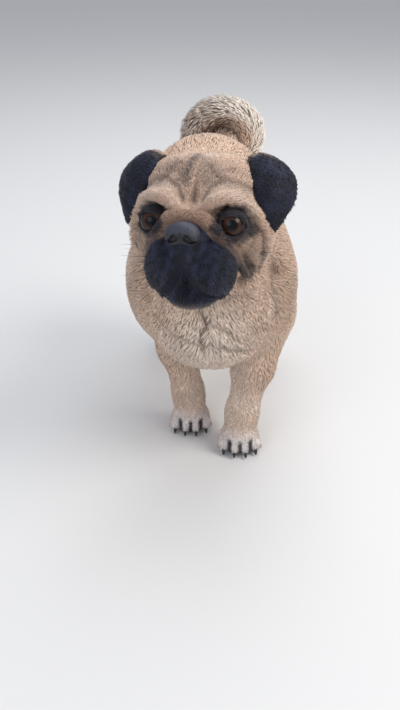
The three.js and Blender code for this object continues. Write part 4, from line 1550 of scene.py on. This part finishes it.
def tuft_sizes(points, shares):
    """Length and rise of the coat at each point, in millimetres."""
    size = np.tile((sizes().tuft_length / MM, BACK_RISE), (len(points), 1))
    face = falling(np.linalg.norm(to_head(points) - (0, -46, -4), axis=1), 84, 40)
    size = mixed(size, FACE_TUFT, face)
    chest = np.exp(-((points[:, 0] + 7) / 50) ** 2 - ((points[:, 2] - 175) / 50) ** 2)
    chest *= falling(points[:, 1], 20, -20) * (1 - face)
    size += np.outer(chest, CHEST_TUFT_MORE)
    size = mixed(size, LEG_TUFT, falling(points[:, 2], 110, 60))
    size = mixed(size, FOOT_TUFT, falling(points[:, 2], 36, 24))
    close = close_to_tail(points)
    if close.any():
        size[close] = mixed(size[close], TAIL_TUFT, on_tail(points[close])[1])
    size[shares >= 0] = EAR_TUFT
    return size.T


def bare(points):
    """Where no fur grows: in the eyes, on the nose, in the mouth and under the soles."""
    local = to_head(points)
    folded = folded_over(local)
    eye = (lid_opening_form()(folded) < 2.2) & (np.linalg.norm(folded - EYE_CENTRE, axis=1) < 19)
    nose = np.linalg.norm((local - NOSE_CENTRE) / (17, 15, 12), axis=1) < 1
    mouth = lip_grooves()(local) < 2.4
    return eye | nose | mouth | (points[:, 2] < 1.2)


def scatter(points, triangles, weights, count, rng):
    """Random places over triangles: the triangle of each, and its shares of the corners."""
    edges = points[triangles[:, 1:]] - points[triangles[:, :1]]
    areas = np.linalg.norm(np.cross(edges[:, 0], edges[:, 1]), axis=1) * weights
    chosen = np.searchsorted(np.cumsum(areas) / areas.sum(), rng.random(count))
    chosen = np.minimum(chosen, len(triangles) - 1)
    first, second = np.sqrt(rng.random(count)), rng.random(count)
    return chosen, np.stack([1 - first, first * (1 - second), first * second], 1)


# Each blade: how far along it, across it and out from its middle every corner stands.
# Its corners are a little darker at the root and lighter at the tip and along the upper edge: painted
# shade in the depth of the coat.
BLADE_CORNERS = np.array([
    (0.00, -0.42, 0.0),
    (0.00, 0.42, 0.0),
    (0.00, 0.00, 1.0),
    (0.50, -0.50, 0.0),
    (0.50, 0.50, 0.0),
    (0.50, 0.00, 1.0),
    (1.00, 0.00, 0.0),
])
BLADE_TONES = np.array([0.86, 0.86, 0.90, 1.0, 1.0, 1.03, 1.06])
BLADE_FACES = np.array([
    (0, 1, 2),
    (0, 3, 1), (1, 3, 4),
    (1, 4, 2), (2, 4, 5),
    (2, 5, 0), (0, 5, 3),
    (3, 6, 4), (4, 6, 5), (5, 6, 3),
])
BLADE_THICK = 0.30
ROOT_DEPTH = 0.7


def blades(roots, normals, ways, length, rise, rng):
    """Corners of every blade: blades by corners by three."""
    count = len(roots)
    turn = rng.normal(0, 0.17, count)[:, None]
    across = np.cross(normals, ways)
    ways = ways * np.cos(turn) + across * np.sin(turn)
    across = np.cross(normals, ways)
    length = length * rng.uniform(0.75, 1.2, count)
    width = length * 0.12 + 0.40
    lift = rise * rng.uniform(0.6, 1.1, count)
    along = BLADE_CORNERS[None, :, 0]
    arch = (1 - (1 - along) ** 2) ** 0.8
    height = -ROOT_DEPTH + (lift[:, None] + ROOT_DEPTH) * arch
    height = height + BLADE_CORNERS[None, :, 2] * width[:, None] * BLADE_THICK
    sideways = BLADE_CORNERS[None, :, 1] * width[:, None]
    return (
        roots[:, None, :]
        + ways[:, None, :] * (along * length[:, None])[:, :, None]
        + across[:, None, :] * sideways[:, :, None]
        + normals[:, None, :] * height[:, :, None]
    )


def unwrapped(points, shares):
    """A place on an unwrap of the skin for each point: tiles for the head, legs and trunk."""
    local = to_head(points)
    head = (np.linalg.norm(local, axis=1) < 88) | (shares >= 0)
    around = np.arctan2(local[:, 0], -local[:, 1]) / (2 * math.pi) + 0.5
    rise = np.arctan2(local[:, 2], np.hypot(local[:, 0], local[:, 1])) / math.pi + 0.5
    low = points[:, 2] < 120
    side, back = points[:, 0] > 0, points[:, 1] > 150
    leg_x = np.where(side, 34, -34)
    leg_y = np.where(back, 246, 44)
    leg_turn = np.arctan2(points[:, 0] - leg_x, points[:, 1] - leg_y) / (2 * math.pi) + 0.5
    body_turn = np.arctan2(points[:, 0], points[:, 2] - 205) / (2 * math.pi) + 0.5
    body = np.stack([0.02 + 0.46 * body_turn, 0.03 + 0.44 * (points[:, 1] + 110) / 440], 1)
    leg = np.stack([
        0.52 + 0.11 * leg_turn + 0.12 * (side + 2 * back),
        0.03 + 0.44 * points[:, 2] / 120,
    ], 1)
    face = np.stack([0.02 + 0.94 * around, 0.53 + 0.44 * rise], 1)
    uv = np.where(low[:, None], leg, body)
    return np.where(head[:, None], face, uv)


BAKE_PATCH = 0.003


def coat_piece(name, corners, colours, uv):
    """One piece of the coat from the corners of its blades."""
    count, per = corners.shape[:2]
    faces = (BLADE_FACES[None] + np.arange(count)[:, None, None] * per).reshape(-1, 3)
    hues = np.clip(colours[:, None, :] * BLADE_TONES[None, :, None], 0, 1).reshape(-1, 3)
    mesh = mesh_from(name, corners.reshape(-1, 3), faces, hues)
    layer = mesh.uv_layers.new(name="OFBake")
    patch = BLADE_CORNERS[:, [1, 0]] * BAKE_PATCH
    spread = (uv[:, None, :] + patch[None]).reshape(-1, 2)
    loops = np.empty(len(mesh.loops), np.int32)
    mesh.loops.foreach_get("vertex_index", loops)
    layer.data.foreach_set("uv", spread[loops].astype(np.float32).ravel())
    return mesh


COAT_COUNT = 128000
PIECE_COUNT = 19000
FACE_MORE_TUFTS = 3.0
FOOT_MORE_TUFTS = 0.8


class PUG_OT_coat(bpy.types.Operator):
    """Cover the skin with tufts that follow the lie of the coat"""
    bl_idname = "pug.coat"
    bl_label = "Coat"

    def execute(self, context):
        if not skin_store:
            raise RuntimeError("The coat needs the skin first")
        rng = np.random.default_rng(7)
        points, triangles, shares = (skin_store[key] for key in ("points", "triangles", "shares"))
        normals = corner_normals(points, triangles)
        centres = centres_of(points, triangles)
        face = falling(np.linalg.norm(to_head(centres) - (0, -40, 0), axis=1), 84, 50)
        weights = 1 + FACE_MORE_TUFTS * face + FOOT_MORE_TUFTS * falling(centres[:, 2], 40, 20)
        weights *= np.where(bare(centres), 0, 1)
        count = int(COAT_COUNT * sizes().coat_fill)
        chosen, parts = scatter(points, triangles, weights, count, rng)
        corner = triangles[chosen]
        roots = (points[corner] * parts[:, :, None]).sum(axis=1)
        facing = unit((normals[corner] * parts[:, :, None]).sum(axis=1))
        share = (shares[corner] * parts).sum(axis=1)
        share = np.where(shares[corner].min(axis=1) < 0, -1.0, share)
        length, rise = tuft_sizes(roots, share)
        ways = lie(roots, facing, share)
        hues = markings_and_painted_light(roots + ways * length[:, None] * 0.3, palette(), share)
        hues = np.where((share >= 0)[:, None], markings_and_painted_light(roots, palette(), share), hues)
        hues *= rng.uniform(0.84, 1.14, count)[:, None]
        corners = blades(roots, facing, ways, length, rise, rng)
        corners[:, :, 2] = np.maximum(corners[:, :, 2], 0.2)
        uv = unwrapped(roots, share)
        order = np.argsort(roots[:, 1], kind="stable")
        material = coat_material()
        for number, start in enumerate(range(0, count, PIECE_COUNT)):
            part = order[start:start + PIECE_COUNT]
            mesh = coat_piece(f"coat_{number + 1}", corners[part], hues[part], uv[part])
            piece = add_object(mesh, material)
            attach(piece, "root")
        return {"FINISHED"}


def tube_net(stations, sides=10, steps=8):
    """A closed round tube through stations of x, y, z and radius, drawn to points at its ends."""
    share = np.linspace(0, 1, steps * (len(stations) - 1) + 1)
    line = through(np.array(stations, float), share)
    middle, radius = line[:, :3], np.maximum(line[:, 3], 0.05)
    along = unit(np.gradient(middle, axis=0))
    across = unit(np.cross(along, (1.0, 0.02, 0.01)))
    over = np.cross(along, across)
    turn = np.linspace(0, 2 * math.pi, sides, endpoint=False)
    ring = (
        middle[:, None] + radius[:, None, None]
        * (np.cos(turn)[None, :, None] * across[:, None] + np.sin(turn)[None, :, None] * over[:, None])
    )
    points = np.concatenate([ring.reshape(-1, 3), middle[:1], middle[-1:]])
    return points, ring_net(len(middle), sides)[:, ::-1]


CLAW_COLOUR = (0.016, 0.013, 0.014, 1)


def claw_material():
    material, tree, shader = new_material("pug_claw")
    place = make_node(tree, "ShaderNodeTexCoord", output=3)
    grain = make_node(tree, "ShaderNodeTexNoise", Vector=place, Scale=700.0)
    fixed(shader, Base_Color=CLAW_COLOUR)
    roughness = grain * 0.2 + 0.28
    tree.links.new(roughness.socket, shader.inputs["Roughness"])
    return material


class PUG_OT_claws(bpy.types.Operator):
    """Make the four claws of each paw"""
    bl_idname = "pug.claws"
    bl_label = "Claws"

    def execute(self, context):
        material = claw_material()
        for name, (px, py) in PAWS.items():
            points, faces, total = [], [], 0
            for place in TOE_PLACES:
                toe_x = px + place * TOE_SPREAD
                toe_y = py - PAW_LENGTH / 2 + (13 if abs(place) > 1 else 7)
                own, net = tube_net([
                    (toe_x, toe_y + 8, 8.5, 2.0),
                    (toe_x + place * 0.4, toe_y + 2.0, 7.2, 2.1),
                    (toe_x + place * 0.6, toe_y - 1.4, 4.4, 1.6),
                    (toe_x + place * 0.7, toe_y - 2.6, 2.0, 0.6),
                ])
                points.append(own)
                faces.append(net + total)
                total += len(own)
            mesh = mesh_from(f"claws_{name}", np.concatenate(points), np.concatenate(faces))
            piece = add_object(mesh, material)
            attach(piece, "root")
        return {"FINISHED"}


WHISKER_ROWS = [
    # Roots on the left side of the head, the way out, and the length as a share of the longest.
    [((20, -78, -22), (0.75, -0.55, -0.25), 0.75), ((27, -75, -20), (0.85, -0.40, -0.15), 0.90)],
    [((34, -70, -18), (0.92, -0.20, -0.05), 1.00), ((22, -79, -32), (0.70, -0.50, -0.50), 0.80)],
    [((29, -76, -32), (0.80, -0.35, -0.45), 0.95), ((36, -69, -30), (0.90, -0.10, -0.35), 1.00)],
    [((24, -77, -42), (0.60, -0.40, -0.70), 0.70), ((32, -72, -42), (0.75, -0.25, -0.60), 0.85)],
    [((56, -32, -20), (0.95, -0.25, -0.10), 0.70), ((55, -32, -22), (0.90, -0.35, -0.25), 0.55)],
    [((12, -68, -60), (0.20, -0.70, -0.70), 0.50), ((18, -66, -60), (0.40, -0.60, -0.70), 0.50)],
]
WHISKER_THICK = 0.30
WHISKER_COLOUR = (0.012, 0.011, 0.013, 1)


def whisker_roots():
    """Root, way out and length of every whisker, in the dog's frame."""
    roots, ways, lengths = [], [], []
    for row in WHISKER_ROWS:
        for root, way, share in row:
            for side in (1, -1):
                mirror = np.array([side, 1, 1])
                roots.append(np.array(root) * mirror)
                ways.append(HEAD_AXES @ (np.array(way) * mirror))
                lengths.append(share)
    form = in_head_frame(face_form())
    roots = settled(form, from_head(roots), passes=12, most=2.0)
    return roots - unit(np.array(ways)) * 0.6, unit(np.array(ways)), np.array(lengths)


def whisker_nodes(material):
    """A node tree that grows one curved, tapered hair at every point of a mesh."""
    tree = bpy.data.node_groups.new("whiskers", "GeometryNodeTree")
    face = tree.interface
    face.new_socket("Roots", in_out="INPUT", socket_type="NodeSocketGeometry")
    face.new_socket("Length", in_out="INPUT", socket_type="NodeSocketFloat")
    face.new_socket("Thickness", in_out="INPUT", socket_type="NodeSocketFloat")
    face.new_socket("Geometry", in_out="OUTPUT", socket_type="NodeSocketGeometry")
    entry = tree.nodes.new("NodeGroupInput")
    roots, length, thick = (Shade(tree, entry.outputs[k]) for k in range(3))
    start = make_node(tree, "ShaderNodeCombineXYZ")
    middle = make_node(tree, "ShaderNodeCombineXYZ", Z=length * 0.55, Y=length * 0.06)
    end = make_node(tree, "ShaderNodeCombineXYZ", Z=length * 0.95, Y=length * 0.28)
    arc = make_node(
        tree, "GeometryNodeCurveQuadraticBezier", Resolution=8, Start=start, Middle=middle, End=end,
    )
    along = make_node(tree, "GeometryNodeSplineParameter")
    taper = (1.0 - along) * thick
    sized = make_node(tree, "GeometryNodeSetCurveRadius", Curve=arc, Radius=taper)
    round_section = make_node(tree, "GeometryNodeCurvePrimitiveCircle", Resolution=6, Radius=1.0)
    hair = curve_to_mesh(tree, sized, round_section, taper)
    way = make_node(
        tree, "GeometryNodeInputNamedAttribute", {"data_type": "FLOAT_VECTOR"}, Name="way",
    )
    size = make_node(tree, "GeometryNodeInputNamedAttribute", {"data_type": "FLOAT"}, Name="share")
    turned = make_node(tree, "FunctionNodeAlignRotationToVector", {"axis": "Z"}, Vector=way)
    spread = make_node(
        tree, "GeometryNodeInstanceOnPoints", Points=roots, Instance=hair, Rotation=turned, Scale=size,
    )
    real = make_node(tree, "GeometryNodeRealizeInstances", Geometry=spread)
    dressed = make_node(tree, "GeometryNodeSetMaterial", Geometry=real, Material=material)
    leave = tree.nodes.new("NodeGroupOutput")
    tree.links.new(dressed.socket, leave.inputs[0])
    return tree


def curve_to_mesh(tree, curve, section, taper):
    node = tree.nodes.new("GeometryNodeCurveToMesh")
    tree.links.new(curve.socket, node.inputs["Curve"])
    tree.links.new(section.socket, node.inputs["Profile Curve"])
    node.inputs["Fill Caps"].default_value = True
    tree.links.new(taper.socket, node.inputs["Scale"])
    return Shade(tree, node.outputs[0])


class PUG_OT_whiskers(bpy.types.Operator):
    """Grow the whiskers of the muzzle, cheeks and chin"""
    bl_idname = "pug.whiskers"
    bl_label = "Whiskers"

    def execute(self, context):
        material, _, shader = new_material("pug_whisker")
        fixed(shader, Base_Color=WHISKER_COLOUR, Roughness=0.45)
        places, ways, lengths = whisker_roots()
        points = bpy.data.meshes.new("whisker_roots")
        points.from_pydata([tuple(place) for place in to_frame(places)], [], [])
        way = points.attributes.new("way", "FLOAT_VECTOR", "POINT")
        way.data.foreach_set("vector", ways.astype(np.float32).ravel())
        share = points.attributes.new("share", "FLOAT", "POINT")
        share.data.foreach_set("value", lengths.astype(np.float32))
        source = bpy.data.objects.new("whisker_roots", points)
        context.collection.objects.link(source)
        group = whisker_nodes(material)
        modifier = source.modifiers.new("whiskers", "NODES")
        modifier.node_group = group
        wanted = {"Length": sizes().whisker_length, "Thickness": WHISKER_THICK * MM}
        for item in group.interface.items_tree:
            if item.item_type == "SOCKET" and item.name in wanted:
                modifier[item.identifier] = wanted[item.name]
        view = source.evaluated_get(context.evaluated_depsgraph_get())
        mesh = bpy.data.meshes.new_from_object(view)
        mesh.name = "whiskers"
        bpy.data.objects.remove(source)
        if not mesh.polygons:
            raise RuntimeError("No whiskers were grown")
        piece = bpy.data.objects.new("whiskers", mesh)
        context.collection.objects.link(piece)
        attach(piece, "root")
        return {"FINISHED"}


FLOOR_HALF = 6.0
FLOOR_COLOUR = (0.72, 0.71, 0.69, 1)
SKY_COLOUR = (0.86, 0.90, 1.0, 1)
SKY_STRENGTH = 0.56
LIGHTS_AIM = Vector((0, 0, 0.2))

# Name, place, size, power and colour of each light.
LIGHTS = [
    ("key", (1.5, -0.5, 1.7), 1.3, 29, (1.0, 0.97, 0.93)),
    ("fill", (-1.1, -1.5, 1.2), 1.6, 10, (0.90, 0.94, 1.0)),
    ("top", (0.2, 0.7, 2.0), 1.6, 19, (0.93, 0.96, 1.0)),
]


def make_floor():
    mesh = bpy.data.meshes.new("floor")
    half = FLOOR_HALF
    corners = [(-half, -half, 0), (half, -half, 0), (half, half, 0), (-half, half, 0)]
    mesh.from_pydata(corners, [], [(0, 1, 2, 3)])
    material, _, shader = new_material("floor_pale")
    fixed(shader, Base_Color=FLOOR_COLOUR, Roughness=0.9)
    return add_object(mesh, material)


def make_light(name, place, size, power, colour):
    data = bpy.data.lights.new(name, "AREA")
    data.shape = "DISK"
    data.size = size
    data.energy = power
    data.color = colour
    lamp = bpy.data.objects.new(name, data)
    lamp.location = place
    lamp.rotation_euler = (LIGHTS_AIM - Vector(place)).to_track_quat("-Z", "Y").to_euler()
    bpy.context.collection.objects.link(lamp)


def make_sky(scene):
    world = bpy.data.worlds.new("soft sky")
    world.use_nodes = True
    background = world.node_tree.nodes["Background"]
    background.inputs["Color"].default_value = SKY_COLOUR
    background.inputs["Strength"].default_value = SKY_STRENGTH
    scene.world = world


def make_camera(scene):
    data = bpy.data.cameras.new("camera")
    data.sensor_width = SENSOR_SIZE
    data.lens = CAMERA_FOCUS_PIXELS * SENSOR_SIZE / PHOTO_HEIGHT_PIXELS
    camera = bpy.data.objects.new("camera", data)
    camera.location = to_frame(CAMERA_PLACE)
    camera.rotation_euler = (math.radians(90 - CAMERA_PITCH), 0, 0)
    bpy.context.collection.objects.link(camera)
    scene.camera = camera


class PUG_OT_stage(bpy.types.Operator):
    """Set the floor, lights, sky and camera"""
    bl_idname = "pug.stage"
    bl_label = "Stage"

    def execute(self, context):
        make_floor()
        for light in LIGHTS:
            make_light(*light)
        make_sky(context.scene)
        make_camera(context.scene)
        context.scene.view_settings.view_transform = "Standard"
        return {"FINISHED"}


class PUG_PT_panel(bpy.types.Panel):
    """Lists the makers"""
    bl_idname = "PUG_PT_panel"
    bl_label = "Pug"
    bl_space_type = "VIEW_3D"
    bl_region_type = "UI"
    bl_category = "Pug"

    def draw(self, context):
        for operator in OPERATORS:
            self.layout.operator(operator.bl_idname)


OPERATORS = [
    PUG_OT_skin,
    PUG_OT_coat,
    PUG_OT_eyes,
    PUG_OT_nose,
    PUG_OT_claws,
    PUG_OT_whiskers,
    PUG_OT_stage,
]
CLASSES = [PugColours, PugSizes, *OPERATORS, PUG_PT_panel]


def register():
    for each in CLASSES:
        bpy.utils.register_class(each)
    bpy.types.Scene.pug_colours = bpy.props.PointerProperty(type=PugColours)
    bpy.types.Scene.pug_sizes = bpy.props.PointerProperty(type=PugSizes)


def unregister():
    del bpy.types.Scene.pug_colours
    del bpy.types.Scene.pug_sizes
    for each in reversed(CLASSES):
        bpy.utils.unregister_class(each)


def main():
    register()
    bpy.ops.pug.skin()
    bpy.ops.pug.coat()
    bpy.ops.pug.eyes()
    bpy.ops.pug.nose()
    bpy.ops.pug.claws()
    bpy.ops.pug.whiskers()
    bpy.ops.pug.stage()


if __name__ == "__main__":
    main()
